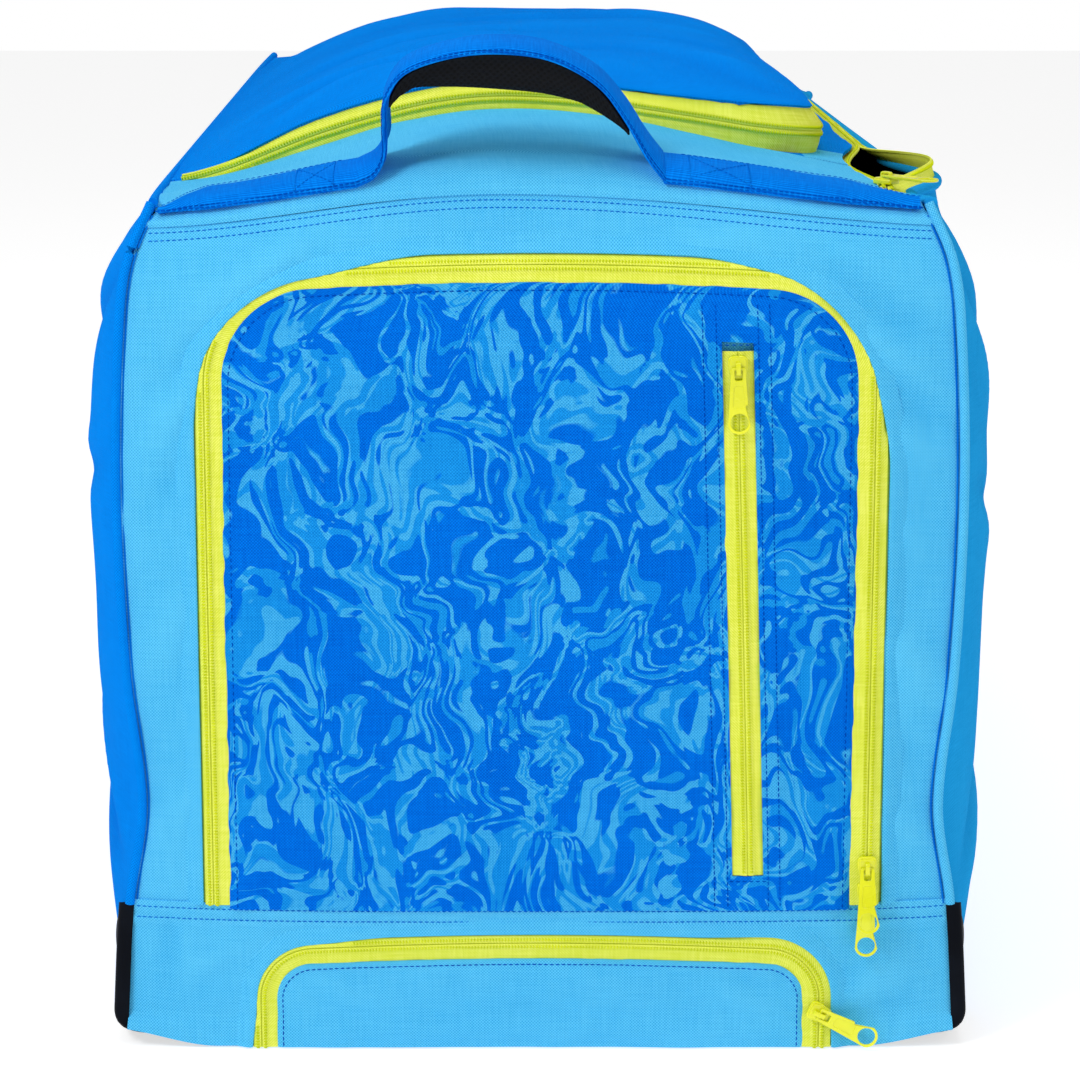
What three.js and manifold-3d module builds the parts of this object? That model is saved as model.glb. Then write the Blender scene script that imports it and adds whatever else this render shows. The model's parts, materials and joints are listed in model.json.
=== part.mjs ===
// A wheeled kit bag lying on its base: a hollow cloth shell with zipped pockets, a haul handle over the
// front edge, a stiff base with skid rails, and two wheels in housings at the far end.
// Millimetres, +Z up. The handle end faces -Y, and the open stretch of the main zip is on the +X side.

import * as THREE from 'three';
import { mergeVertices } from 'three/addons/utils/BufferGeometryUtils.js';
import Module from 'manifold-3d';

const wasm = await Module();
wasm.setup();

// Driving dimensions of the shell
const CLOTH = 2; // wall of woven cloth
const TAPE = 1.2; // thickness of zip tape
const GAP = 0.5; // clearance between neighbouring pieces
const PIPE_R = 2.4; // piping along the seams
const SEAM_INSET = 3.3; // how far a panel's edge stays from the middle of a piped seam
const BASE_UNDERSIDE = 8;
const BASE_TOP = 11;
const LOWER_SEAM_Z = 84; // horizontal seam across the handle end
const SIDE_TOP = 470; // top seams at the corners
const SEAM_Y = 468; // end seams, from the middle of the length
const PANEL_BULGE = 12; // end panels stand out this far in the middle
const PANEL_MIDDLE_Z = 240;
const PANEL_HALF_RISE = 245; // from that middle to where the bulge has gone
const SWELL_RUN = 150; // the sides reach their full swell this far from the end seams
const EDGE_SAG = 3; // the top seams sink this much between the ends
const SHOULDER_Y = 432; // where the yoke has rolled over into the top
const YOKE_SEAM_Z = 457; // yoke seam at the sides
const YOKE_SEAM_CROWN = 18; // and its rise in the middle
const YOKE_END_Y = -340.5; // back edge of the yoke, at the lid pocket

// Side walls by height: half width at the end seams, swell between the ends, and lean of the end seams
const SIDE_ROWS = [
  { z: 11, half: 231, swell: 8, lean: 0 },
  { z: 84, half: 226, swell: 25, lean: 0 },
  { z: 140, half: 218, swell: 33, lean: 0 },
  { z: 215, half: 225, swell: 28, lean: 0 },
  { z: 320, half: 228, swell: 26, lean: 0 },
  { z: 410, half: 224, swell: 22, lean: 2 },
  { z: 442, half: 219, swell: 14, lean: 6 },
  { z: 470, half: 207, swell: 4, lean: 16 },
];

// Crown of the top over its side seams along the length: it falls towards the back
const CROWN_ROWS = [
  { y: -460, rise: 16 },
  { y: -432, rise: 24 },
  { y: -340, rise: 42 },
  { y: -100, rise: 40 },
  { y: 150, rise: 33 },
  { y: 340, rise: 27 },
  { y: 432, rise: 20 },
  { y: 460, rise: 16 },
];
const CROWN_MIDDLE_X = -20;
const CROWN_LEFT = 208; // from the crown's middle to the left seam
const CROWN_RIGHT = 285;
// The far right corner has sunk: most at the corner, and fading ahead, inwards and down the walls
const SINK = { depth: 31, fromY: -230, runY: 690, fromX: 110, runX: 97, fromZ: 250, runZ: 190 };

// Main zip along the right of the top, open near the handle end
const TEETH_INSET = 20; // closed zip line, in from the side's widest line
const TAPE_WIDTH = 13;
const MOUTH_NEAR_Y = -398;
const MOUTH_FAR_Y = -220;
const MOUTH_WIDTH = 38;
const MOUTH_TOP_SHARE = 0.35; // of the mouth's width that comes out of the top panel
const MOUTH_FLARE = 12; // the side's lip leans out this far where the mouth is widest
const MOUTH_LIP_RISE = 12; // the side's teeth stand up this far where the mouth is widest
const MOUTH_TOP_DROP = 3; // and the top's teeth sag this far
const SIDE_OVERHANG = 2; // where the mouth gapes, the side leans out past its seam
const SIDE_EDGE_Y = 450; // the side's top edge starts to move in here
const SIDE_EDGE_RUN = 22;
const ROLL_FROM_Z = 452; // the right side rolls over the top from here
const ZIP_STEP_Y = 424; // the top is cut back for the tapes from here, at both ends
const ZIP_CLEAR_Y = 420;
const ZIP_NEAR_Y = -418.5;
const ZIP_FAR_Y = 418.5;
const TAPE_GAP = 2.2; // clearance along the free edges of the main zip's tapes

// Lid pocket on the top
const LID = {
  front: -341, back: 400, right: 157, corner: 45, gusset: 18, apex: 529, apexX: -20, leftEdge: 474,
};
const LID_FOLD = { share: 0.22, from: -215, to: -120 }; // the gusset fades to this share at the left
const LID_SIDES = { left: 2.2, right: 4 }; // how squarely the dome falls to each side
const LID_CORNER = { lift: 9, fromX: 50, toX: 157, fromY: -260, toY: 200 }; // the front right corner stands up
const GUSSET = { startX: -176, inset: 1.5, footGap: 0.7, headGap: 1.6 };

// Front pocket: an inverted U standing on the lower seam
const POCKET = { half: 171, top: 424, radius: 48, crown: 7, pillow: 5, tape: 16.5 };
const UPRIGHT = { topX: 105, topZ: 395, footX: 114, footZ: 103, tape: 15.6, slot: 17, sliderDrop: 9 };

// Low arch pocket in the lower panel
const ARCH = { half: 146, top: 50, radius: 20, crown: 5, pillow: 3, tape: 17 };

// Haul handle: webbing on the shoulder of the yoke, raised in an arch over the grip
const STRAP = { thick: 2.4, left: -197, right: 182, frontAt: 0.15, backAt: 0.6, clear: 1, lean: 0.12, fold: 6 };
const STRAP_FLAT_STEPS = 5;
const ARCH_ROWS = [
  { x: -98, lift: 0 },
  { x: -87, lift: 4 },
  { x: -81, lift: 14 },
  { x: -81, lift: 28 },
  { x: -80, lift: 41 },
  { x: -71, lift: 53 },
  { x: -50, lift: 59 },
  { x: -24, lift: 61 },
  { x: 4, lift: 58 },
  { x: 28, lift: 47 },
  { x: 43, lift: 31 },
  { x: 55, lift: 13 },
  { x: 66, lift: 0 },
];
const PAD = { thick: 19, edge: 1.2, start: 0.23, end: 0.85, near: 0.07, far: 0.93 };

// Base, rails, guards and wheels
const BASE = { half: 237, front: -472, back: 472, corner: 22 };
const RAIL = { x: 190, front: -455, back: 392, width: 22, height: 7.5 };
const GUARD = { run: 58, thick: 3, clear: 1.2 };
const WHEEL = {
  x: 185, y: 455, radius: 40, width: 36, bore: 4.5, hub: 46.4, boss: 9, web: 29, rim: 31, dish: 5, shoulder: 4,
};
const HOUSING = { width: 53, wall: 3, inner: 45, back: 474 };
const AXLE_R = 4;

// Zip pulls, in the slider's own frame: Y along the zip, Z out of the cloth
const SLIDER = {
  width: 11, length: 13, height: 3.4, corner: 2.5,
  crownWidth: 2.6, crownRise: 2, crownWall: 1.2, crownHalf: 3.6,
};
const PULL = { bar: 0.6, window: 6.2, neck: 29, ring: 6.4, hole: 4.9, thick: 1.4, half: 4, side: 2 };
const PULL_AXIS_Z = SLIDER.height + SLIDER.crownRise / 2;
const SLIDER_LAY = 0.3; // a slider's own clearance over its tape
// Two sliders share the front pocket's zip, and the upper pull stands off over the lower one
const PAIR = { upperZ: 106.5, lowerZ: 91.6, standOff: 21 };
const ARCH_SLIDER_Z = 22;

const { abs, cos, sin, PI, max, min, sqrt } = Math;
const { clamp, lerp, smoothstep, degToRad } = THREE.MathUtils;
const vec = (x, y, z) => new THREE.Vector3(x, y, z);

function finish(color, roughness, metalness = 0) {
  return new THREE.MeshStandardMaterial({ color, roughness, metalness });
}
const LIGHT_BLUE = finish(0x45b0f0, 0.85);
const MID_BLUE = finish(0x0080eb, 0.85);
const PRINT_BLUE = finish(0x1a8fe8, 0.85);
const ZIP_YELLOW = finish(0xe0ee40, 0.7);
const PULL_YELLOW = finish(0xf0f000, 0.4);
const MESH_BLACK = finish(0x0a0c14, 0.9);
const MOULDED_BLACK = finish(0x121316, 0.6);
const RUBBER_BLACK = finish(0x1a1a1c, 0.8);
const STEEL = finish(0xb8bcc0, 0.35, 1);

// Equal steps from 0 to 1
const steps = (count) => Array.from({ length: count + 1 }, (_, i) => i / count);

// A smooth value between the rows of a table
function rowValue(rows, by, at, field) {
  const last = rows.length - 1;
  let i = 0;
  while (i < last - 1 && at > rows[i + 1][by]) i += 1;
  const slope = (k) => {
    const before = rows[max(k - 1, 0)];
    const after = rows[min(k + 1, last)];
    return (after[field] - before[field]) / (after[by] - before[by]);
  };
  const span = rows[i + 1][by] - rows[i][by];
  const t = clamp((at - rows[i][by]) / span, 0, 1);
  const bend = span * t * (1 - t) * ((1 - t) * slope(i) - t * slope(i + 1));
  const level = lerp(rows[i][field], rows[i + 1][field], smoothstep(t, 0, 1));
  return level + bend;
}

// Closed mesh from vertices and triangles, turned so that its faces point out
function closedMesh(points, triangles) {
  let volume = 0;
  for (const [a, b, c] of triangles) {
    volume += points[a].dot(points[b].clone().cross(points[c]));
  }
  const index = triangles.flatMap(([a, b, c]) => (volume > 0 ? [a, b, c] : [a, c, b]));
  const geometry = new THREE.BufferGeometry();
  geometry.setAttribute('position', new THREE.Float32BufferAttribute(points.flatMap((p) => p.toArray()), 3));
  geometry.setIndex(index);
  return geometry;
}

// Closed wall between two surfaces over the same stations
function wall(face, back, across, along) {
  const nu = across.length;
  const nv = along.length;
  const points = [face, back].flatMap((side) => along.flatMap((v) => across.map((u) => side(u, v))));
  const at = (side, i, j) => side * nu * nv + j * nu + i;
  const triangles = [];
  const quad = (a, b, c, d) => triangles.push([a, b, c], [a, c, d]);
  for (let j = 0; j < nv - 1; j += 1) {
    for (let i = 0; i < nu - 1; i += 1) {
      quad(at(0, i, j), at(0, i + 1, j), at(0, i + 1, j + 1), at(0, i, j + 1));
      quad(at(1, i, j), at(1, i, j + 1), at(1, i + 1, j + 1), at(1, i + 1, j));
    }
  }
  for (let i = 0; i < nu - 1; i += 1) {
    quad(at(0, i + 1, 0), at(0, i, 0), at(1, i, 0), at(1, i + 1, 0));
    quad(at(0, i, nv - 1), at(0, i + 1, nv - 1), at(1, i + 1, nv - 1), at(1, i, nv - 1));
  }
  for (let j = 0; j < nv - 1; j += 1) {
    quad(at(0, 0, j), at(0, 0, j + 1), at(1, 0, j + 1), at(1, 0, j));
    quad(at(0, nu - 1, j + 1), at(0, nu - 1, j), at(1, nu - 1, j), at(1, nu - 1, j + 1));
  }
  return closedMesh(points, triangles);
}

// Unit normal of a surface, from small steps along both parameters
function normalOf(surface, u, v) {
  const step = 1e-3;
  const [u0, u1] = [max(u - step, 0), min(u + step, 1)];
  const [v0, v1] = [max(v - step, 0), min(v + step, 1)];
  const du = surface(u1, v).sub(surface(u0, v));
  const dv = surface(u, v1).sub(surface(u, v0));
  return du.cross(dv).normalize();
}

// Cloth of even thickness behind a surface: "outward" says which way its face looks
function cloth(surface, outward, across, along, thick = CLOTH) {
  const back = (u, v) => {
    const normal = normalOf(surface, u, v);
    const turn = normal.dot(outward) > 0 ? -thick : thick;
    return surface(u, v).addScaledVector(normal, turn);
  };
  return wall(surface, back, across, along);
}

// Solids for cutting and joining
function solid(geometry) {
  const bare = geometry.clone();
  bare.deleteAttribute('normal');
  bare.deleteAttribute('uv');
  const merged = mergeVertices(bare, 1e-4);
  return new wasm.Manifold(new wasm.Mesh({
    numProp: 3,
    vertProperties: new Float32Array(merged.attributes.position.array),
    triVerts: new Uint32Array(merged.index.array),
  }));
}

function meshOf(body) {
  const { vertProperties, triVerts } = body.getMesh();
  const geometry = new THREE.BufferGeometry();
  geometry.setAttribute('position', new THREE.Float32BufferAttribute(vertProperties, 3));
  geometry.setIndex(Array.from(triVerts));
  return geometry;
}

const boxBetween = (low, high) => {
  const size = high.clone().sub(low);
  const middle = low.clone().add(high).multiplyScalar(0.5);
  return new THREE.BoxGeometry(size.x, size.y, size.z).translate(middle.x, middle.y, middle.z);
};

// The shape of the filled bag
const seamHalf = (z) => rowValue(SIDE_ROWS, 'z', z, 'half');
const seamY = (z) => SEAM_Y - rowValue(SIDE_ROWS, 'z', z, 'lean');
const swell = (y, z) => 1 - (1 - clamp((seamY(z) - abs(y)) / SWELL_RUN, 0, 1)) ** 3;
const sideX = (y, z) => seamHalf(z) + rowValue(SIDE_ROWS, 'z', z, 'swell') * swell(y, z);
const topHalf = (y) => sideX(y, SIDE_TOP);
const edgeZ = (y) => SIDE_TOP - EDGE_SAG * swell(y, SIDE_TOP);
const crownAt = (x) => {
  const reach = x < CROWN_MIDDLE_X ? CROWN_LEFT : CROWN_RIGHT;
  return cos((PI / 2) * clamp((x - CROWN_MIDDLE_X) / reach, -1, 1)) ** 2;
};
const topZ = (x, y) => edgeZ(y) + rowValue(CROWN_ROWS, 'y', y, 'rise') * crownAt(x);
const yokeSeamZ = (x) => YOKE_SEAM_Z + YOKE_SEAM_CROWN * crownAt(x);
const panelY = (x, z) => {
  const across = 1 - min(abs(x / seamHalf(z)), 1) ** 4;
  const upright = 1 - min(abs((z - PANEL_MIDDLE_Z) / PANEL_HALF_RISE), 1) ** 6;
  return seamY(z) + PANEL_BULGE * across * upright;
};

// How far the main zip is open at a station, 0 to 1
const openAt = (y) => {
  const along = clamp((y - MOUTH_NEAR_Y) / (MOUTH_FAR_Y - MOUTH_NEAR_Y), 0, 1);
  return sin(PI * along ** 0.85) ** 1.6;
};
// The side panel's top edge moves in from the corners to the zip, and then the top makes room for the tapes
const between = (y, corner, run) => {
  const end = run - corner;
  return smoothstep(y, -corner, end) * smoothstep(-y, -corner, end);
};
const sideRun = (y) => between(y, SIDE_EDGE_Y, SIDE_EDGE_RUN);
const tapeRun = (y) => between(y, ZIP_STEP_Y, ZIP_STEP_Y - ZIP_CLEAR_Y);
const topLeft = (y) => SEAM_INSET - topHalf(y);
const topTapeEdge = (y) => {
  const gape = MOUTH_TOP_SHARE * MOUTH_WIDTH * openAt(y);
  return topHalf(y) - TEETH_INSET - TAPE_WIDTH - gape;
};
const sideEdgeX = (y) => {
  const shut = (1 - openAt(y)) * sideRun(y);
  const lip = topHalf(y) + SIDE_OVERHANG + MOUTH_FLARE * openAt(y);
  return lip - (TEETH_INSET - TAPE_WIDTH + SIDE_OVERHANG) * shut;
};
const topRight = (y) => {
  const corner = min(topHalf(y) - SEAM_INSET, sideEdgeX(y) - TAPE_GAP);
  return lerp(corner, topTapeEdge(y) - TAPE_GAP, tapeRun(y));
};

// End panels: rows of the seam half widths, bottom edge and top edge
function endPanel(end, lowZ, highZ, inset, columns, rows) {
  const surface = (u, v) => {
    const middle = (u - 0.5) * 2;
    const guess = lerp(lowZ, YOKE_SEAM_Z, v);
    const x = middle * (seamHalf(guess) - inset);
    const z = lerp(lowZ, highZ(x), v);
    const reach = middle * (seamHalf(z) - inset);
    return vec(reach, end * panelY(reach, z), z);
  };
  return cloth(surface, vec(0, end, 0), steps(columns), steps(rows));
}

const belowYoke = (x) => yokeSeamZ(x) - GAP;
const END_INSET = SEAM_INSET + GAP;
const frontPanel = () => endPanel(-1, LOWER_SEAM_Z + GAP, belowYoke, END_INSET, 12, 10);

function frontLowerPanel() {
  const lowZ = BASE_TOP + GAP;
  const surface = (u, v) => {
    const z = lerp(lowZ, LOWER_SEAM_Z, v);
    const x = (2 * u - 1) * (seamHalf(z) - SEAM_INSET);
    return vec(x, -panelY(x, z), z);
  };
  return cloth(surface, vec(0, -1, 0), steps(14), steps(3));
}

function backPanel() {
  const whole = endPanel(1, BASE_TOP + GAP, belowYoke, END_INSET + 0.2, 16, 10);
  return meshOf(wheelWells().reduce((rest, well) => rest.subtract(well), solid(whole)));
}

// Top of the bag at one end: from the end panel's seam over the shoulder, then level to "stopY"
const SHOULDER_SHARE = 0.5;
function topOver(end, stopY) {
  const cornerAt = 0.42; // share of the shoulder where the end seam meets the top seam
  const seamX = seamHalf(YOKE_SEAM_Z) - SEAM_INSET - 2 * GAP;
  const cornerX = seamHalf(SIDE_TOP) - SEAM_INSET - 2 * GAP;
  const reach = (edge, w) => {
    if (w < cornerAt) return lerp(seamX, cornerX, w / cornerAt);
    return lerp(cornerX, abs(edge(end * SHOULDER_Y)), (w - cornerAt) / (1 - cornerAt));
  };
  return (u, v) => {
    const w = min(v / SHOULDER_SHARE, 1);
    const run = max(v - SHOULDER_SHARE, 0) / (1 - SHOULDER_SHARE);
    const y = lerp(end * SHOULDER_Y, stopY, run);
    const left = run > 0 ? topLeft(y) : -reach(topLeft, w);
    const right = run > 0 ? topRight(y) : reach(topRight, w);
    const x = lerp(left, right, u);
    if (run > 0) return vec(x, y, topZ(x, y));
    const seam = yokeSeamZ(x);
    const from = vec(x, end * panelY(x, seam), seam);
    const to = vec(x, end * SHOULDER_Y, topZ(x, end * SHOULDER_Y));
    const hip = vec(x, from.y, to.z);
    const a = from.lerp(hip, w);
    return a.lerp(hip.lerp(to, w), w);
  };
}

const yokeSurface = topOver(-1, YOKE_END_Y);
// Share of the way over the yoke or the top where it passes a station of the level part
const passing = (end, stopY) => (y) => {
  const startY = end * SHOULDER_Y;
  return lerp(SHOULDER_SHARE, 1, (startY - y) / (startY - stopY));
};
const SHOULDER_STEPS = steps(3).map((t) => t * SHOULDER_SHARE);

function yoke() {
  const rows = [-ZIP_STEP_Y, -ZIP_CLEAR_Y, -400, -375, YOKE_END_Y].map(passing(-1, YOKE_END_Y));
  return cloth(yokeSurface, vec(0, -0.5, 1), steps(16), [...SHOULDER_STEPS, ...rows]);
}

function topPanel() {
  const stopY = YOKE_END_Y + 1;
  const level = [ZIP_STEP_Y, ZIP_CLEAR_Y, 390, 290, 190, 90, 0, -90, -140, -190, -240, -290, stopY];
  const rows = [...SHOULDER_STEPS, ...level.map(passing(1, stopY))];
  return cloth(topOver(1, stopY), vec(0, 0, 1), steps(16), rows);
}

function sidePoint(sign, y, height) {
  const lift = (edgeZ(y) - SIDE_TOP) * ((height - BASE_TOP) / (SIDE_TOP - BASE_TOP));
  return vec(sign * sideX(y, height), y, height + lift);
}

const sideStation = (u, height, inset = SEAM_INSET) => lerp(-1, 1, u) * (seamY(height) - inset);
// Stations along a side, closer together near the end seams where it swells
const SIDE_STATIONS = steps(15).map((t) => 0.5 + 0.5 * Math.sign(t - 0.5) * abs(2 * t - 1) ** 0.75);

function leftSide() {
  const surface = (u, v) => {
    const height = lerp(BASE_TOP + GAP, SIDE_TOP - SEAM_INSET, v);
    return sidePoint(-1, sideStation(u, height), height);
  };
  return cloth(surface, vec(-1, 0, 0), SIDE_STATIONS, steps(10));
}

// Edges of the main zip's tapes at a station: on the side panel, at its teeth, and at the top panel's teeth
const sideTapeEdge = (y) => vec(sideEdgeX(y), y, edgeZ(y) + GAP);
const sideTeeth = (y) => {
  const x = topHalf(y) - TEETH_INSET + GAP / 2;
  const shutAt = vec(x, y, topZ(x, y));
  const lip = vec(topHalf(y) - 1 + MOUTH_FLARE, y, edgeZ(y) + MOUTH_LIP_RISE);
  return shutAt.lerp(lip, openAt(y));
};
const topTeeth = (y) => {
  const x = topTapeEdge(y) + TAPE_WIDTH - GAP / 2;
  return vec(x, y, topZ(x, y) - MOUTH_TOP_DROP * openAt(y));
};

function rightSide() {
  const straightShare = 0.8;
  const surface = (u, v) => {
    const height = lerp(BASE_TOP + GAP, ROLL_FROM_Z, min(v / straightShare, 1));
    const roll = max(v - straightShare, 0) / (1 - straightShare);
    const y = sideStation(u, lerp(height, SIDE_TOP, roll), SEAM_INSET + 3 * roll);
    const start = sidePoint(1, y, height);
    if (roll === 0) return start;
    const edge = sideTapeEdge(y);
    const hip = vec(topHalf(y) + 1 + MOUTH_FLARE * openAt(y), y, edgeZ(y) - 3);
    return start.lerp(hip, roll).lerp(hip.lerp(edge, roll), roll);
  };
  const rows = [...steps(9).map((t) => t * straightShare), 0.87, 0.93, 1];
  return cloth(surface, vec(1, 0, 0.3), SIDE_STATIONS, rows);
}

function mouthTape(from, to) {
  const surface = (u, v) => {
    const y = lerp(ZIP_NEAR_Y, ZIP_FAR_Y, v);
    return from(y).lerp(to(y), u);
  };
  return cloth(surface, vec(0, 0, 1), [0, 1], steps(30), TAPE);
}

const mouthTapeSide = () => mouthTape((y) => sideTapeEdge(y).lerp(sideTeeth(y), 0.18), sideTeeth);
const mouthTapeTop = () => mouthTape((y) => {
  const x = topTapeEdge(y);
  return vec(x, y, topZ(x, y));
}, topTeeth);

// Lid pocket: rises from the left seam, stands on its gusset at the front, right and back
const lidRise = (x) => LID.gusset * lerp(LID_FOLD.share, 1, smoothstep(x, LID_FOLD.from, LID_FOLD.to));
const lidCorner = (x, y) => {
  const { lift, fromX, toX, fromY, toY } = LID_CORNER;
  return lift * smoothstep(x, fromX, toX) * (1 - smoothstep(y, fromY, toY));
};
const lidDome = (x) => {
  const half = LID.right - LID.apexX;
  const q = clamp((x - LID.apexX) / half, -1, 1);
  const rightEdge = topZ(LID.right, 0) + LID.gusset;
  const base = lerp(LID.leftEdge, rightEdge, (q + 1) / 2);
  const fall = q < 0 ? LID_SIDES.left : LID_SIDES.right;
  return base + (LID.apex - base) * (1 - abs(q) ** fall);
};
const lidZ = (x, y) => {
  const along = (y - (LID.front + LID.back) / 2) / ((LID.back - LID.front) / 2);
  const fullness = 1 - min(abs(along), 1) ** 5;
  const extra = max(0, lidDome(x) - topZ(x, 0) - lidRise(x));
  return topZ(x, y) + lidRise(x) + extra * fullness + lidCorner(x, y);
};
const lidLeft = (y) => 2 - topHalf(y) + SEAM_INSET;
const lidRight = (y) => {
  const into = max(LID.front + LID.corner - y, y - (LID.back - LID.corner), 0);
  return LID.right - LID.corner + sqrt(max(LID.corner ** 2 - into ** 2, 0));
};

function lidPocket() {
  const turn = [0, 15, 40, 65, 90].map((deg) => LID.corner * (1 - cos(degToRad(deg))));
  const straight = steps(7).map((t) => lerp(LID.front + LID.corner, LID.back - LID.corner, t));
  const rows = [...turn.slice(0, -1).map((d) => LID.front + d), ...straight,
    ...turn.slice(0, -1).reverse().map((d) => LID.back - d)];
  const along = rows.map((y) => (y - LID.front) / (LID.back - LID.front));
  const surface = (u, v) => {
    const y = lerp(LID.front, LID.back, v);
    const x = lerp(lidLeft(y), lidRight(y), u);
    return vec(x, y, lidZ(x, y));
  };
  return cloth(surface, vec(0, 0, 1), [...steps(10).slice(0, -1), 0.96, 1], along);
}

// Plan of the lid's gusset, from the front left round the right to the back left
function gussetPath() {
  const { startX, inset } = GUSSET;
  const { corner, right, front, back } = LID;
  const points = [];
  for (const t of steps(8)) points.push([lerp(startX, right - corner, t), front + inset]);
  for (const t of steps(5).slice(1)) {
    const a = (t * PI) / 2;
    const r = corner - inset;
    points.push([right - corner + r * sin(a), front + corner - r * cos(a)]);
  }
  for (const t of steps(10).slice(1)) points.push([right - inset, lerp(front + corner, back - corner, t)]);
  for (const t of steps(5).slice(1)) {
    const a = (t * PI) / 2;
    const r = corner - inset;
    points.push([right - corner + r * cos(a), back - corner + r * sin(a)]);
  }
  for (const t of steps(8).slice(1)) points.push([lerp(right - corner, startX, t), back - inset]);
  return points.map(([x, y]) => new THREE.Vector2(x, y));
}

function lidGusset() {
  const path = gussetPath();
  const inward = path.map((_, i) => {
    const along = path[min(i + 1, path.length - 1)].clone().sub(path[max(i - 1, 0)]).normalize();
    return new THREE.Vector2(-along.y, along.x);
  });
  const face = (depth) => (u, i) => {
    const plan = path[i].clone().addScaledVector(inward[i], depth);
    const low = topZ(plan.x, plan.y) + GUSSET.footGap;
    const high = lidZ(plan.x, plan.y) - CLOTH - GUSSET.headGap;
    return vec(plan.x, plan.y, lerp(low, high, u));
  };
  return wall(face(0), face(TAPE), [0, 1], path.map((_, i) => i));
}

// An inverted U on the handle end: points of its outline with their outward direction
function invertedU({ half, top, radius, crown }, footZ, legSteps, turnSteps, headSteps) {
  const points = [];
  const lift = (x) => crown * (1 - (x / half) ** 2);
  const add = (x, z, nx, nz) => points.push({ x, z: z + lift(x) * smoothstep(z, footZ, top), nx, nz });
  for (const t of steps(legSteps).slice(0, -1)) add(-half, lerp(footZ, top - radius, t), -1, 0);
  for (const t of steps(turnSteps).slice(0, -1)) {
    const a = (t * PI) / 2;
    add(-half + radius * (1 - cos(a)), top - radius * (1 - sin(a)), -cos(a), sin(a));
  }
  for (const t of steps(headSteps).slice(0, -1)) add(lerp(radius - half, half - radius, t), top, 0, 1);
  const rightSide = points.slice(0, legSteps + turnSteps).reverse();
  add(half - radius, top, 0, 1);
  rightSide.forEach(({ x, z, nx, nz }) => points.push({ x: -x, z, nx: -nx, nz }));
  return points;
}

const pillowOf = ({ half, top, pillow }, footZ, x, z) => {
  const middle = (footZ + top) / 2;
  const upright = 1 - min(abs((z - middle) / (top - middle)), 1) ** 4;
  return pillow * (1 - min(abs(x / half), 1) ** 4) * upright;
};

// Flat strip of zip tape beside an inverted U, laid on the end panel
function zipStrip(shape, footZ, from, counts) {
  const path = invertedU(shape, footZ, ...counts);
  const face = (lay) => (u, i) => {
    const { x, z, nx, nz } = path[i];
    const out = lerp(from, from + shape.tape, u);
    const px = x + nx * out;
    const pz = z + nz * out;
    return vec(px, -panelY(px, pz) - lay, pz);
  };
  return wall(face(GAP + TAPE), face(GAP), [0, 1], path.map((_, i) => i));
}

// Pocket panel inside an inverted U, standing out in a soft pillow
function pocketPanel(shape, footZ, columns, legRows) {
  const { half, top, radius, crown } = shape;
  const heights = [...steps(legRows).map((t) => lerp(footZ, top - radius, t)),
    ...[25, 50, 75, 90].map((deg) => top - radius + radius * sin(degToRad(deg)))];
  const reach = (z) => half - radius + sqrt(max(radius ** 2 - max(z - (top - radius), 0) ** 2, 0));
  const face = (lay) => (u, z) => {
    const x = lerp(-1, 1, u) * reach(z);
    const pz = z + crown * (1 - (x / half) ** 2) * smoothstep(z, footZ, top);
    return vec(x, -panelY(x, pz) - lay - pillowOf(shape, footZ, x, z), pz);
  };
  return wall(face(GAP + CLOTH), face(GAP), steps(columns), heights);
}

const POCKET_FOOT = LOWER_SEAM_Z + GAP;
const ARCH_FOOT = BASE_TOP + GAP;
const uprightX = (z) => {
  const { topX, topZ: headZ, footX, footZ } = UPRIGHT;
  return lerp(footX, topX, (z - footZ) / (headZ - footZ));
};
const pocketLay = (x, z) => panelY(x, z) + GAP + pillowOf(POCKET, POCKET_FOOT, x, z);

function frontPocket() {
  const half = UPRIGHT.slot / 2;
  const { topX, topZ: headZ, footX, footZ } = UPRIGHT;
  const outline = new THREE.Shape([
    new THREE.Vector2(footX - half, footZ - GAP),
    new THREE.Vector2(footX + half, footZ - GAP),
    new THREE.Vector2(topX + half, headZ + GAP),
    new THREE.Vector2(topX - half, headZ + GAP),
  ]);
  const cutDepth = 60;
  const slot = new THREE.ExtrudeGeometry(outline, { depth: cutDepth, bevelEnabled: false });
  slot.rotateX(PI / 2).translate(0, cutDepth / 2 - SEAM_Y - PANEL_BULGE, 0);
  return meshOf(solid(pocketPanel(POCKET, POCKET_FOOT, 10, 6)).subtract(solid(slot)));
}

function uprightZip() {
  const face = (lay) => (u, v) => {
    const z = lerp(UPRIGHT.footZ + GAP, UPRIGHT.topZ - GAP, v);
    const x = uprightX(z) + (u - 0.5) * UPRIGHT.tape;
    return vec(x, -pocketLay(x, z) - lay, z);
  };
  return wall(face(TAPE), face(0), [0, 1], steps(14));
}

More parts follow.
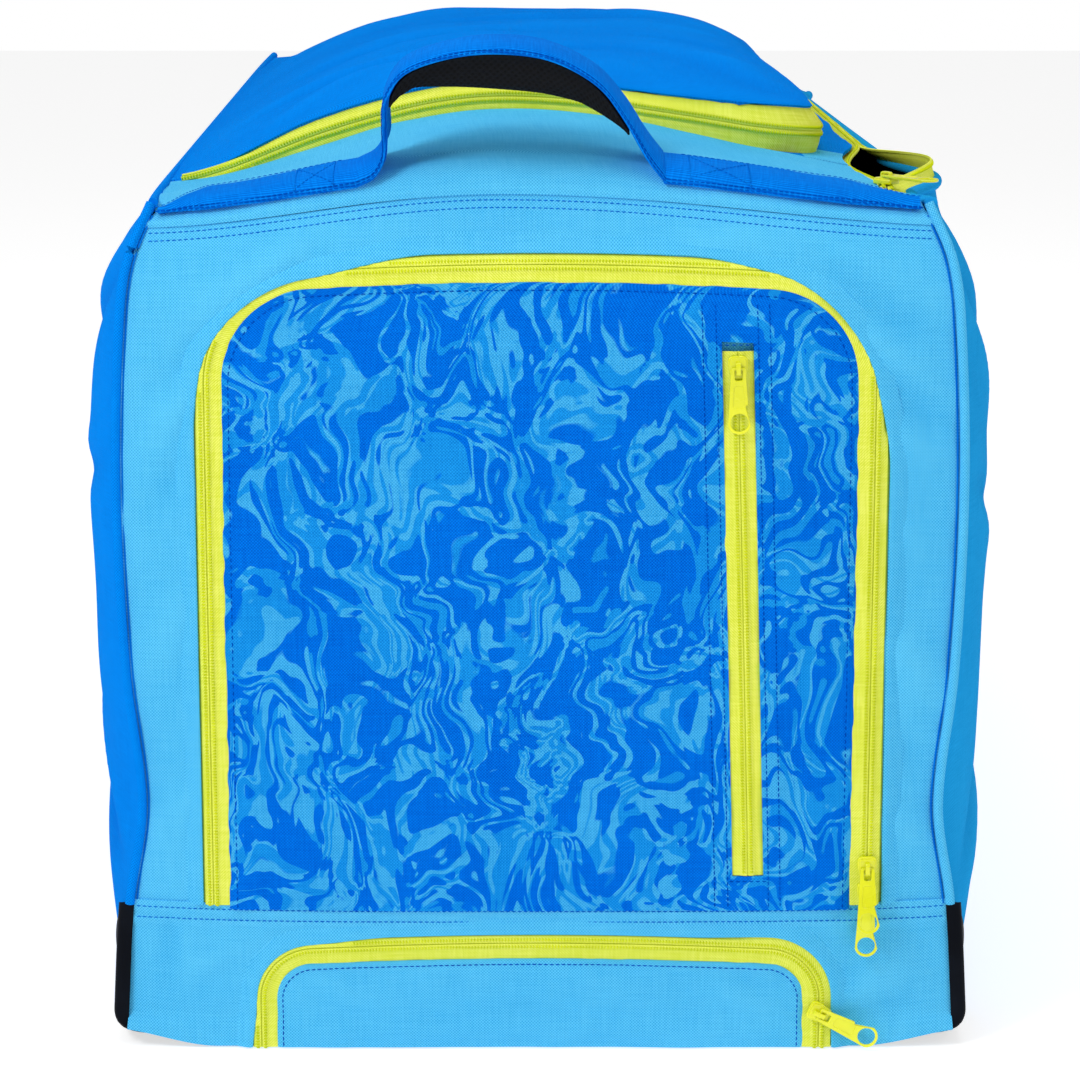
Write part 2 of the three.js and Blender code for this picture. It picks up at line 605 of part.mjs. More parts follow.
// Webbing lies on the yoke's shoulder and is lifted along the arch
const strapPath = (() => {
  const arch = new THREE.CatmullRomCurve3(ARCH_ROWS.map(({ x, lift }) => vec(x, 0, lift)));
  const flat = (from, to, count) => steps(count).map((t) => ({ x: lerp(from, to, t), lift: 0 }));
  const over = arch.getSpacedPoints(20).map(({ x, z }) => ({ x, lift: max(z, 0) }));
  const lastArch = ARCH_ROWS[ARCH_ROWS.length - 1].x;
  const before = flat(STRAP.left, ARCH_ROWS[0].x - STRAP.fold, STRAP_FLAT_STEPS);
  const after = flat(lastArch + STRAP.fold, STRAP.right, STRAP_FLAT_STEPS);
  return [...before, ...over, ...after];
})();
const strapPoint = (at, across) => {
  const i = min(Math.floor(at), strapPath.length - 2);
  const x = lerp(strapPath[i].x, strapPath[i + 1].x, at - i);
  const lift = lerp(strapPath[i].lift, strapPath[i + 1].lift, at - i);
  const seat = (v) => {
    const edge = (u) => yokeSurface(u, v).x;
    return yokeSurface((x - edge(0)) / (edge(1) - edge(0)), v);
  };
  const front = seat(STRAP.frontAt);
  const rear = seat(STRAP.backAt);
  const middle = seat((STRAP.frontAt + STRAP.backAt) / 2);
  const flat = front.clone().lerp(rear, across);
  const bow = middle.sub(front.clone().lerp(rear, 0.5));
  const onYoke = flat.addScaledVector(bow, 4 * across * (1 - across));
  return onYoke.add(vec(0, -STRAP.lean * lift, lift));
};
const strapNormal = (at, across) => {
  const last = strapPath.length - 1;
  const du = strapPoint(min(at + 0.5, last), across).sub(strapPoint(max(at - 0.5, 0), across));
  const dv = strapPoint(at, min(across + 0.05, 1)).sub(strapPoint(at, max(across - 0.05, 0)));
  return du.cross(dv).normalize();
};
const strapFace = (out) => (at, across) => {
  return strapPoint(at, across).addScaledVector(strapNormal(at, across), out);
};
const haulStrap = () => wall(
  strapFace(STRAP.clear + STRAP.thick),
  strapFace(STRAP.clear),
  strapPath.map((_, i) => i),
  steps(4),
);

// Padded mesh under the arch: a crescent, thickest in the middle and thin at its ends
function gripPad() {
  const last = strapPath.length - 1;
  const thickAt = (u, v) => PAD.edge + PAD.thick * sin(PI * u) ** 0.8 * (1 - abs(2 * v - 1) ** 3);
  const stationOf = (u) => {
    const archStart = STRAP_FLAT_STEPS + 1;
    const archEnd = last - archStart;
    return lerp(archStart, archEnd, lerp(PAD.start, PAD.end, u));
  };
  const face = (inner) => (u, v) => {
    const at = stationOf(u);
    const across = lerp(PAD.near, PAD.far, v);
    const depth = inner ? thickAt(u, v) : 0;
    return strapFace(STRAP.clear - 2 * GAP - depth)(at, across);
  };
  return wall(face(false), face(true), steps(12), steps(5));
}

// Piping: a round cord along a seam
function piping(route, count) {
  const path = new THREE.CatmullRomCurve3(steps(count).map(route));
  const ring = new THREE.Shape(steps(6).slice(0, 6).map((t) => {
    const a = 2 * PI * t;
    return new THREE.Vector2(PIPE_R * cos(a), PIPE_R * sin(a));
  }));
  return new THREE.ExtrudeGeometry(ring, { extrudePath: path, steps: count, bevelEnabled: false });
}
const endPiping = (sign, end, count) => piping((t) => {
  const z = lerp(LOWER_SEAM_Z + GAP, SIDE_TOP, t);
  return vec(sign * seamHalf(z), end * seamY(z), z);
}, count);
const topLeftPiping = () => piping((t) => {
  const y = lerp(-1, 1, t) * (seamY(SIDE_TOP) - PIPE_R - GAP);
  return vec(-topHalf(y), y, edgeZ(y));
}, 28);

// Base board, rails, corner guards
function roundedPlan(left, right, front, back, corner) {
  const plan = new THREE.Shape();
  plan.moveTo(left + corner, front);
  plan.lineTo(right - corner, front);
  plan.absarc(right - corner, front + corner, corner, -PI / 2, 0, false);
  plan.lineTo(right, back - corner);
  plan.absarc(right - corner, back - corner, corner, 0, PI / 2, false);
  plan.lineTo(left + corner, back);
  plan.absarc(left + corner, back - corner, corner, PI / 2, PI, false);
  plan.lineTo(left, front + corner);
  plan.absarc(left + corner, front + corner, corner, PI, 1.5 * PI, false);
  return plan;
}
const slab = (plan, low, high, curveSegments = 4) => new THREE.ExtrudeGeometry(plan, {
  depth: high - low, bevelEnabled: false, curveSegments,
}).translate(0, 0, low);

function wheelWells() {
  return [-1, 1].map((side) => {
    const half = HOUSING.width / 2 + GAP;
    const reach = HOUSING.inner + HOUSING.wall + GAP;
    return solid(boxBetween(
      vec(side * WHEEL.x - half, WHEEL.y - reach, 0),
      vec(side * WHEEL.x + half, SEAM_Y + 60, WHEEL.radius + reach),
    ));
  });
}

function baseBoard() {
  const plan = roundedPlan(-BASE.half, BASE.half, BASE.front, BASE.back, BASE.corner);
  const board = solid(slab(plan, BASE_UNDERSIDE, BASE_TOP));
  return meshOf(wheelWells().reduce((rest, well) => rest.subtract(well), board));
}

function rail(side) {
  const x = side * RAIL.x;
  const half = RAIL.width / 2;
  return slab(roundedPlan(x - half, x + half, RAIL.front, RAIL.back, half - 1), 0, RAIL.height, 3);
}

function cornerGuard(side) {
  const face = (out) => (u, v) => {
    const z = lerp(BASE_TOP + GAP, LOWER_SEAM_Z - GAP, v);
    const y = lerp(-(SEAM_Y + 2), GUARD.run - SEAM_Y, u);
    return vec(side * (sideX(y, z) + GUARD.clear + out), y, z);
  };
  return wall(face(GUARD.thick), face(0), steps(6), steps(4));
}

// Wheel housings: a rounded roof and two cheeks round the wheel, open below and behind
function wheelProfile(radius, floorZ, backY) {
  const profile = new THREE.Shape();
  const reachY = min(backY - WHEEL.y, radius);
  const topAngle = Math.acos(reachY / radius);
  profile.moveTo(WHEEL.y - radius, floorZ);
  profile.lineTo(backY, floorZ);
  profile.lineTo(backY, WHEEL.radius + radius * sin(topAngle));
  profile.absarc(WHEEL.y, WHEEL.radius, radius, topAngle, PI, false);
  return profile;
}
// Extrudes a profile drawn in Y and Z along X, about the middle
const acrossX = (profile, width) => new THREE.ExtrudeGeometry(profile, {
  depth: width, bevelEnabled: false, curveSegments: 8,
}).rotateX(PI / 2).rotateZ(PI / 2).translate(-width / 2, 0, 0);

function wheelHousing(side) {
  const { width, wall: cheek, inner, back } = HOUSING;
  const shell = acrossX(wheelProfile(inner + cheek, BASE_UNDERSIDE, back), width);
  const room = acrossX(wheelProfile(inner, -cheek, back + 20), width - 2 * cheek);
  return meshOf(solid(shell).subtract(solid(room))).translate(side * WHEEL.x, 0, 0);
}

// Turned shape about the X axis
const turned = (profile, sides) => new THREE.LatheGeometry(
  profile.map(([radius, along]) => new THREE.Vector2(radius, along)), sides,
).rotateZ(-PI / 2);

function wheel(side) {
  const { radius, width, bore, hub, boss, web, rim, dish, shoulder } = WHEEL;
  const half = width / 2;
  const nearHalf = [
    [bore, -hub / 2], [boss, -hub / 2], [boss, dish - half], [web, dish - half], [rim, -half],
    [radius - shoulder, -half], [radius, dish - half],
  ];
  const farHalf = nearHalf.map(([r, along]) => [r, -along]).reverse();
  const geometry = turned([...nearHalf, ...farHalf, nearHalf[0]], 13);
  return geometry.translate(side * WHEEL.x, WHEEL.y, WHEEL.radius);
}

function axle(side) {
  const half = HOUSING.width / 2 - HOUSING.wall - GAP;
  const pin = turned([[0, -half], [AXLE_R, -half], [AXLE_R, half], [0, half]], 12);
  return pin.translate(side * WHEEL.x, WHEEL.y, WHEEL.radius);
}

// Zip slider: a flat body with a bridge that holds the pull
function sliderBody() {
  const { width, length, height, corner, crownWidth, crownRise, crownWall, crownHalf } = SLIDER;
  const block = roundedPlan(-width / 2, width / 2, -length / 2, length / 2, corner);
  const body = solid(slab(block, 0, height, 1));
  const bridge = new THREE.Shape([
    new THREE.Vector2(-crownHalf, height - 1),
    new THREE.Vector2(-crownHalf, height + crownRise + crownWall),
    new THREE.Vector2(crownHalf, height + crownRise + crownWall),
    new THREE.Vector2(crownHalf, height - 1),
    new THREE.Vector2(crownHalf - crownWall, height - 1),
    new THREE.Vector2(crownHalf - crownWall, height + crownRise),
    new THREE.Vector2(crownWall - crownHalf, height + crownRise),
    new THREE.Vector2(crownWall - crownHalf, height - 1),
  ]);
  return meshOf(body.add(solid(acrossX(bridge, crownWidth))));
}

// Pull tab hanging along -Y from its hinge: a bar, a window for the bridge, and a plate widening to a ring
function pullTab() {
  const { bar, window, neck, ring, hole, thick, half, side } = PULL;
  const outline = new THREE.Shape();
  outline.moveTo(-half, bar);
  outline.lineTo(-ring, -neck);
  outline.absarc(0, -neck, ring, PI, 2 * PI, false);
  outline.lineTo(half, bar);
  const eye = new THREE.Path([
    new THREE.Vector2(side - half, -bar),
    new THREE.Vector2(half - side, -bar),
    new THREE.Vector2(half - side, -window),
    new THREE.Vector2(side - half, -window),
  ]);
  const ringHole = new THREE.Path();
  ringHole.absarc(0, -neck, hole, 0, 2 * PI, true);
  outline.holes.push(eye, ringHole);
  return slab(outline, -thick / 2, thick / 2, 6);
}

// A slider on its zip: place, direction of the zip, outward direction, and how far its pull stands off
function zipPull(name, place, along, outward, standOff) {
  const holder = new THREE.Group();
  const y = along.clone().normalize();
  const z = outward.clone().addScaledVector(y, -outward.dot(y)).normalize();
  const x = y.clone().cross(z);
  holder.quaternion.setFromRotationMatrix(new THREE.Matrix4().makeBasis(x, y, z));
  holder.position.copy(place);
  const slider = new THREE.Mesh(sliderBody(), PULL_YELLOW);
  slider.name = `slider_${name}`;
  const pull = new THREE.Mesh(pullTab(), PULL_YELLOW);
  pull.name = `pull_${name}`;
  pull.position.set(0, 0, PULL_AXIS_Z);
  pull.rotation.x = -degToRad(standOff);
  holder.add(slider, pull);
  return holder;
}

const onPanel = (x, z, lay) => vec(x, -panelY(x, z) - lay, z);
const tapeFace = 2 * GAP + TAPE + SLIDER_LAY; // a slider on a strip of tape rests here, out from the panel
const FRONT = vec(0, -1, 0);
const UP = vec(0, 0, 1);
const legMiddle = POCKET.half + GAP + POCKET.tape / 2;
const uprightAlong = vec(UPRIGHT.topX - UPRIGHT.footX, 0, UPRIGHT.topZ - UPRIGHT.footZ);

function zipPulls() {
  const uprightZ = UPRIGHT.topZ - UPRIGHT.sliderDrop;
  const atX = uprightX(uprightZ);
  const uprightAt = vec(atX, -pocketLay(atX, uprightZ) - TAPE - GAP - SLIDER_LAY, uprightZ);
  const archX = ARCH.half + GAP + ARCH.tape / 2;
  const mainY = MOUTH_NEAR_Y - 4;
  const mainX = topHalf(mainY) - TEETH_INSET;
  const mainAt = vec(mainX, mainY, topZ(mainX, mainY) + 2 * GAP + SLIDER_LAY);
  return [
    zipPull('upright', uprightAt, uprightAlong, FRONT, 0),
    zipPull('pocket_upper', onPanel(legMiddle, PAIR.upperZ, tapeFace), UP, FRONT, PAIR.standOff),
    zipPull('pocket_lower', onPanel(legMiddle, PAIR.lowerZ, tapeFace), UP, FRONT, 0),
    zipPull('arch', onPanel(archX, ARCH_SLIDER_Z, tapeFace + GAP), vec(-0.9, 0, 0.44), FRONT, 0),
    zipPull('main', mainAt, vec(-0.7, 0.75, 0), UP, 0),
  ];
}

function sunk(geometry) {
  const at = geometry.attributes.position;
  for (let i = 0; i < at.count; i += 1) {
    const along = clamp((at.getY(i) - SINK.fromY) / SINK.runY, 0, 1);
    const across = clamp((at.getX(i) - SINK.fromX) / SINK.runX, 0, 1) ** 2;
    const up = smoothstep(at.getZ(i), SINK.fromZ, SINK.fromZ + SINK.runZ);
    at.setZ(i, at.getZ(i) - SINK.depth * along * across * up);
  }
  return geometry;
}

// Assembly
const bag = new THREE.Group();
const place = (name, geometry, material) => {
  const mesh = new THREE.Mesh(sunk(geometry), material);
  mesh.name = name;
  bag.add(mesh);
};

place('front_panel', frontPanel(), LIGHT_BLUE);
place('front_lower_panel', frontLowerPanel(), LIGHT_BLUE);
place('yoke', yoke(), LIGHT_BLUE);
place('back_panel', backPanel(), LIGHT_BLUE);
place('left_side', leftSide(), MID_BLUE);
place('right_side', rightSide(), LIGHT_BLUE);
place('top_panel', topPanel(), MID_BLUE);
place('lid_pocket', lidPocket(), MID_BLUE);
place('lid_gusset', lidGusset(), ZIP_YELLOW);
place('mouth_tape_side', mouthTapeSide(), ZIP_YELLOW);
place('mouth_tape_top', mouthTapeTop(), ZIP_YELLOW);
place('front_pocket', frontPocket(), PRINT_BLUE);
place('pocket_zip', zipStrip(POCKET, POCKET_FOOT, GAP, [6, 6, 8]), ZIP_YELLOW);
place('upright_zip', uprightZip(), ZIP_YELLOW);
place('arch_flap', pocketPanel(ARCH, ARCH_FOOT, 12, 2), LIGHT_BLUE);
place('arch_zip', zipStrip(ARCH, ARCH_FOOT, GAP, [2, 5, 8]), ZIP_YELLOW);
place('haul_strap', haulStrap(), MID_BLUE);
place('grip_pad', gripPad(), MESH_BLACK);
place('piping_front_left', endPiping(-1, -1, 13), MID_BLUE);
place('piping_front_right', endPiping(1, -1, 13), LIGHT_BLUE);
place('piping_back_left', endPiping(-1, 1, 10), MID_BLUE);
place('piping_back_right', endPiping(1, 1, 10), LIGHT_BLUE);
place('piping_top_left', topLeftPiping(), MID_BLUE);
place('base_board', baseBoard(), MOULDED_BLACK);
for (const [word, side] of [['left', -1], ['right', 1]]) {
  place(`rail_${word}`, rail(side), MOULDED_BLACK);
  place(`guard_${word}`, cornerGuard(side), MOULDED_BLACK);
  place(`housing_${word}`, wheelHousing(side), MOULDED_BLACK);
  place(`axle_${word}`, axle(side), STEEL);
  place(`wheel_${word}`, wheel(side), RUBBER_BLACK);
}
bag.add(...zipPulls());

// Origin in the middle of the floor it stands on
bag.updateMatrixWorld(true);
const bounds = new THREE.Box3().setFromObject(bag);
const middle = bounds.getCenter(vec(0, 0, 0));
bag.position.set(-middle.x, -middle.y, -bounds.min.z);

export default bag;
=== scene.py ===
# %% [markdown]
# # A wheeled kit bag, dressed around its solids
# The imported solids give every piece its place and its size. This lesson puts cloth, zips, webbing,
# stitches and moulded plastic on them. Each step says what the piece is on the real bag, how it could be
# made, and why it is made this way. All sizes are in millimetres until the last moment, because a bag
# maker works in millimetres.

# %% Load the frame
import json
import math

import bmesh
import bpy
import numpy as np
from mathutils import Matrix, Vector

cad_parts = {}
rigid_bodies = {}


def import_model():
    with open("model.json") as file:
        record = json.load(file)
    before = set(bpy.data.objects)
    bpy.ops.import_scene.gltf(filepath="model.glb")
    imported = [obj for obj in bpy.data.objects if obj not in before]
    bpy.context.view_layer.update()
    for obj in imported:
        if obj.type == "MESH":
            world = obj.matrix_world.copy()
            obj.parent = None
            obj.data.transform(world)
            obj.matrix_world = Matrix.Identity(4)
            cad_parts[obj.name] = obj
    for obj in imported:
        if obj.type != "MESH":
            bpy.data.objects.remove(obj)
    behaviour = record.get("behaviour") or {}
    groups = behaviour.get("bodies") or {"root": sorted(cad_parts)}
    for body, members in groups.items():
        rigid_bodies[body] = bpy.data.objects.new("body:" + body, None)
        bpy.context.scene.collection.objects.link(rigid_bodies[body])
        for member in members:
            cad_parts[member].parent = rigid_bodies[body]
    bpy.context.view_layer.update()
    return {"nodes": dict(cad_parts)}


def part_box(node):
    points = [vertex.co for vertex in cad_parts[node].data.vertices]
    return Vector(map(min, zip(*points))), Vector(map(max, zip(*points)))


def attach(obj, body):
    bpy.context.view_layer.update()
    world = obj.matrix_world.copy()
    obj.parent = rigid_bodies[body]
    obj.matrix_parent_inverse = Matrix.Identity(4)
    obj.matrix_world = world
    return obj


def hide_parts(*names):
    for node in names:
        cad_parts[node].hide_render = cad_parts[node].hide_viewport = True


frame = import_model()
MM = 0.001
board_low, board_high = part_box("base_board")
# The board is centred in the maker's own frame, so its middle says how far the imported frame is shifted
SHIFT = np.array([(board_low.x + board_high.x) / 2, (board_low.y + board_high.y) / 2, 0.0]) / MM
SINK = {"depth": 31.0, "y": (-230.0, 460.0), "x": (110.0, 207.0), "z": (250.0, 440.0)}


def to_row(points):
    """Maker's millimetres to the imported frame's metres, with the far right corner sunk as in the solids."""
    x, y, z = np.moveaxis(np.asarray(points, float), -1, 0)
    along, across, up = (np.clip((at - SINK[k][0]) / (SINK[k][1] - SINK[k][0]), 0, 1)
                         for k, at in (("y", y), ("x", x), ("z", z)))
    lower = z - SINK["depth"] * along * across ** 2 * up * up * (3 - 2 * up)
    return (np.stack([x, y, lower], axis=-1) + SHIFT) * MM


print("nodes", len(frame["nodes"]), "shift in mm", SHIFT.round(3))

# %% [markdown]
# ## The form of the filled bag
# A filled bag has no flat faces: its sides swell between the end seams, its top has a crown, and its ends
# bulge. The form could be sculpted, but then two neighbouring panels would never meet exactly. Here a few
# tables and functions give the form, the same ones that shaped the solids, and every panel is cut from
# them.

# %% Sizes of the shell
GAP = 0.5
CLOTH = 2.0
TAPE = 1.2
BASE_TOP = 11.0
LOWER_SEAM_Z = 84.0
SIDE_TOP = 470.0
SEAM_Y = 468.0
PANEL_BULGE, PANEL_MIDDLE_Z, PANEL_HALF_RISE = 12.0, 240.0, 245.0
SWELL_RUN = 150.0
EDGE_SAG = 3.0
SHOULDER_Y = 432.0
YOKE_SEAM_Z, YOKE_SEAM_CROWN, YOKE_END_Y = 457.0, 18.0, -340.5
SIDE_ROWS = [  # z, half width at the end seams, swell between the ends, lean of the end seams
    (11, 231, 8, 0), (84, 226, 25, 0), (140, 218, 33, 0), (215, 225, 28, 0),
    (320, 228, 26, 0), (410, 224, 22, 2), (442, 219, 14, 6), (470, 207, 4, 16),
]
CROWN_ROWS = [  # y, rise of the top over its side seams
    (-460, 16), (-432, 24), (-340, 42), (-100, 40), (150, 33), (340, 27), (432, 20), (460, 16),
]
CROWN_MIDDLE_X, CROWN_LEFT, CROWN_RIGHT = -20.0, 208.0, 285.0
TEETH_INSET, TAPE_WIDTH = 20.0, 13.0
MOUTH_NEAR_Y, MOUTH_FAR_Y, MOUTH_WIDTH = -398.0, -220.0, 38.0
MOUTH_TOP_SHARE, MOUTH_LIP_RISE, MOUTH_FLARE, MOUTH_TOP_DROP = 0.35, 12.0, 12.0, 3.0
SIDE_OVERHANG, SIDE_EDGE_Y, SIDE_EDGE_RUN, ROLL_FROM_Z = 2.0, 450.0, 22.0, 452.0
ZIP_STEP_Y, ZIP_CLEAR_Y, ZIP_END_Y = 424.0, 420.0, 418.5
SEAM_TUCK = 1.2  # a panel's edge tucks in under the piping, this far from the middle of the seam


def mix(a, b, t):
    return a + (b - a) * t


def ease(x, low, high):
    t = np.clip((x - low) / (high - low), 0, 1)
    return t * t * (3 - 2 * t)


def row_curve(rows, column):
    """A smooth curve through one column of a table, by its first column."""
    at, value = (np.array([row[k] for row in rows], float) for k in (0, column))
    last = len(rows) - 1
    before, after = np.maximum(np.arange(last + 1) - 1, 0), np.minimum(np.arange(last + 1) + 1, last)
    slope = (value[after] - value[before]) / (at[after] - at[before])

    def curve(x):
        i = np.clip(np.searchsorted(at, x, side="left") - 1, 0, last - 1)
        span = at[i + 1] - at[i]
        t = np.clip((x - at[i]) / span, 0, 1)
        bend = span * t * (1 - t) * ((1 - t) * slope[i] - t * slope[i + 1])
        return mix(value[i], value[i + 1], t * t * (3 - 2 * t)) + bend

    return curve


seam_half, side_swell, seam_lean = (row_curve(SIDE_ROWS, k) for k in (1, 2, 3))
crown_rise = row_curve(CROWN_ROWS, 1)


# %% The form as functions of place
def seam_y(z):
    return SEAM_Y - seam_lean(z)


def swell(y, z):
    return 1 - (1 - np.clip((seam_y(z) - np.abs(y)) / SWELL_RUN, 0, 1)) ** 3


def side_x(y, z):
    return seam_half(z) + side_swell(z) * swell(y, z)


def top_half(y):
    return side_x(y, SIDE_TOP)


def edge_z(y):
    return SIDE_TOP - EDGE_SAG * swell(y, SIDE_TOP)


def crown_at(x):
    reach = np.where(x < CROWN_MIDDLE_X, CROWN_LEFT, CROWN_RIGHT)
    return np.cos(math.pi / 2 * np.clip((x - CROWN_MIDDLE_X) / reach, -1, 1)) ** 2


def top_z(x, y):
    return edge_z(y) + crown_rise(y) * crown_at(x)


def yoke_seam_z(x):
    return YOKE_SEAM_Z + YOKE_SEAM_CROWN * crown_at(x)


def panel_y(x, z):
    across = 1 - np.minimum(np.abs(x / seam_half(z)), 1) ** 4
    upright = 1 - np.minimum(np.abs((z - PANEL_MIDDLE_Z) / PANEL_HALF_RISE), 1) ** 6
    return seam_y(z) + PANEL_BULGE * across * upright


def open_at(y):
    along = np.clip((y - MOUTH_NEAR_Y) / (MOUTH_FAR_Y - MOUTH_NEAR_Y), 0, 1)
    return np.abs(np.sin(math.pi * along ** 0.85)) ** 1.6


def between(y, corner, run):
    return ease(y, -corner, run - corner) * ease(-y, -corner, run - corner)


def top_left(y):
    return SEAM_TUCK - top_half(y)


def top_tape_edge(y):
    return top_half(y) - TEETH_INSET - TAPE_WIDTH - MOUTH_TOP_SHARE * MOUTH_WIDTH * open_at(y)


def side_edge_x(y):
    shut = (1 - open_at(y)) * between(y, SIDE_EDGE_Y, SIDE_EDGE_RUN)
    lip = top_half(y) + SIDE_OVERHANG + MOUTH_FLARE * open_at(y)
    return lip - (TEETH_INSET - TAPE_WIDTH + SIDE_OVERHANG) * shut


def top_right(y):
    corner = np.minimum(top_half(y) - SEAM_TUCK, side_edge_x(y))
    return mix(corner, top_tape_edge(y) + 8, between(y, ZIP_STEP_Y, ZIP_STEP_Y - ZIP_CLEAR_Y))


print("half width at mid height", float(side_x(0.0, 320.0)), "top of the shell", float(top_z(-20.0, 0.0)))

# %% [markdown]
# ## Cloth as a closed sheet
# A panel is a sheet of woven cloth about two millimetres thick with its lining. A Solidify modifier could
# thicken it, but a panel with a slot needs a clean edge round the slot too, and an inner face of another
# colour. So one function takes a grid of points, lays a second grid behind it along the normals, and
# closes every open edge. It also measures the cloth along the grid and stores that as the UV map, in
# metres, so a weave follows the cloth.

# %% From a grid of points to a sheet
CREASE_ANGLE = math.radians(40)
FULL_SLACK = 4.0  # relief at which a fold has its full painted shade or painted highlight, in millimetres


def grid(rows, cols):
    """Parameters of a grid: u runs along the columns and v along the rows, both 0 to 1."""
    v, u = np.meshgrid(np.linspace(0, 1, rows), np.linspace(0, 1, cols), indexing="ij")
    return u, v


def stack(*columns):
    return np.stack(np.broadcast_arrays(*columns), axis=-1).astype(float)


def unit(vectors):
    return vectors / np.maximum(np.linalg.norm(vectors, axis=-1, keepdims=True), 1e-9)


def grid_normals(points, outward):
    """Unit normals of a grid, on the side that "outward" points to, and whether that turns the grid over."""
    normals = unit(np.cross(np.gradient(points, axis=1), np.gradient(points, axis=0)))
    turned = (normals @ np.asarray(outward, float)).mean() < 0
    return (-normals if turned else normals), turned


def cloth_uv(points):
    """Distance along the cloth both ways, in metres, from the middle of the grid."""
    along_u = np.linalg.norm(np.diff(points, axis=1), axis=2)
    along_v = np.linalg.norm(np.diff(points, axis=0), axis=2)
    u = np.pad(np.cumsum(along_u, axis=1), ((0, 0), (1, 0)))
    v = np.pad(np.cumsum(along_v, axis=0), ((1, 0), (0, 0)))
    middle_row, middle_col = points.shape[0] // 2, points.shape[1] // 2
    return np.stack([u - u[:, [middle_col]], v - v[[middle_row], :]], axis=-1) * MM


def strip_uv(points):
    """The same for a long strip, with its crosswise threads kept square to its run."""
    uv = cloth_uv(points)
    uv[..., 1] = uv[:, [points.shape[1] // 2], 1]
    return uv


def new_piece(name, points, faces, materials, uv=None, face_material=None, slack=None):
    """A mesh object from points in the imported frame, shaded smooth except over its sharp edges."""
    mesh = bpy.data.meshes.new(name)
    mesh.from_pydata(np.asarray(points).tolist(), [], [list(map(int, face)) for face in faces])
    for material in materials:
        mesh.materials.append(material)
    if face_material is not None:
        mesh.polygons.foreach_set("material_index", np.asarray(face_material, np.int32))
    if uv is not None:
        corner = np.empty(len(mesh.loops), np.int32)
        mesh.loops.foreach_get("vertex_index", corner)
        mesh.uv_layers.new(name="cloth").data.foreach_set("uv", np.asarray(uv)[corner].ravel())
    # The fold relief is stored as slack, and the cloth finishes paint shade into its hollows and a highlight
    # onto its ridges
    if slack is not None:
        stored = mesh.attributes.new("slack", "FLOAT", "POINT")
        stored.data.foreach_set("value", np.asarray(slack, np.float32))
    mesh.polygons.foreach_set("use_smooth", np.ones(len(mesh.polygons), bool))
    mesh.set_sharp_from_angle(angle=CREASE_ANGLE)
    mesh.update()
    piece = bpy.data.objects.new(name, mesh)
    bpy.context.scene.collection.objects.link(piece)
    return piece


def settle(piece, nodes=(), body="shell"):
    """Puts a finished piece on its body and hides the solids it stands for."""
    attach(piece, body)
    if nodes:
        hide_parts(*nodes)
    return piece


def sheet_piece(name, points, outward, materials, nodes=(), thick=CLOTH, keep=None, relief=None,
                uv=None):
    """A closed sheet behind a grid of points. "keep" masks its cells, and "relief" lifts its face."""
    uv = cloth_uv(points) if uv is None else uv
    normals, turned = grid_normals(points, outward)
    if relief is not None:
        points = points + normals * relief[..., None]
        normals, turned = grid_normals(points, outward)
    rows, cols = points.shape[:2]
    index = np.arange(rows * cols).reshape(rows, cols)
    quads = np.stack([index[:-1, :-1], index[:-1, 1:], index[1:, 1:], index[1:, :-1]], axis=-1)
    quads = quads.reshape(-1, 4) if keep is None else quads[keep]
    quads = quads[:, ::-1] if turned else quads
    count = rows * cols
    edges = np.concatenate([quads[:, [k, (k + 1) % 4]] for k in range(4)])
    rim = edges[~np.isin(edges[:, 0] * count + edges[:, 1], edges[:, 1] * count + edges[:, 0])]
    walls = np.stack([rim[:, 1], rim[:, 0], rim[:, 0] + count, rim[:, 1] + count], axis=-1)
    faces = np.concatenate([quads, quads[:, ::-1] + count, walls])
    both = np.concatenate([points.reshape(-1, 3), (points - normals * thick).reshape(-1, 3)])
    used, faces = np.unique(faces, return_inverse=True)
    faces = faces.reshape(-1, 4)
    inner = np.repeat([0, len(materials) - 1, 0], [len(quads), len(quads), len(walls)])
    uv = np.concatenate([uv.reshape(-1, 2)] * 2)[used]
    # The relief, stored as slack, gives the painted shade in the hollows and the painted highlight on the
    # ridges
    height = np.zeros((rows, cols)) if relief is None else np.clip(relief / FULL_SLACK, -1, 1)
    slack = np.concatenate([height.ravel()] * 2)[used]
    piece = new_piece(name, to_row(both[used]), faces, materials, uv, inner, slack)
    print(name, len(faces), "faces")
    return settle(piece, nodes)


# %% [markdown]
# ## Slack in the cloth
# Cloth that is sewn and filled is never even: it draws up in small puckers along a seam, and it has slow
# waves and a few long drag lines elsewhere. A cloth simulation of the whole bag would be slow and would
# move the seams. Value noise from one seeded table of numbers gives the waves and the puckers, and short
# tables give the drag lines that the photograph shows, so each panel can have its own.

# %% Waves, puckers and drag lines
LATTICE = np.random.default_rng(11).uniform(-1, 1, (64, 64))


def soft_noise(a, b, cell, seed=0):
    """Smooth noise between -1 and 1, with features about one cell wide."""
    p, q = a / cell + 17.31 * seed, b / cell + 5.77 * seed
    i, j = np.floor(p).astype(int), np.floor(q).astype(int)
    s, t = p - i, q - j
    s, t = s ** 3 * (s * (6 * s - 15) + 10), t ** 3 * (t * (6 * t - 15) + 10)

    def knot(di, dj):
        return LATTICE[(i + di) % 64, (j + dj) % 64]

    return mix(mix(knot(0, 0), knot(1, 0), s), mix(knot(0, 1), knot(1, 1), s), t)


def waves(a, b, deep, seed, cell=95.0):
    return deep * (soft_noise(a, b, cell, seed) + 0.45 * soft_noise(a, b, cell * 0.42, seed + 1))


def puckers(distance, along, deep, reach, seed, cell=11.0):
    """Gathers across a seam: deepest at it, and gone a few reaches away."""
    fade = np.exp(-np.maximum(distance, 0) / reach)
    return deep * fade * soft_noise(along, distance * 0.35, cell, seed)


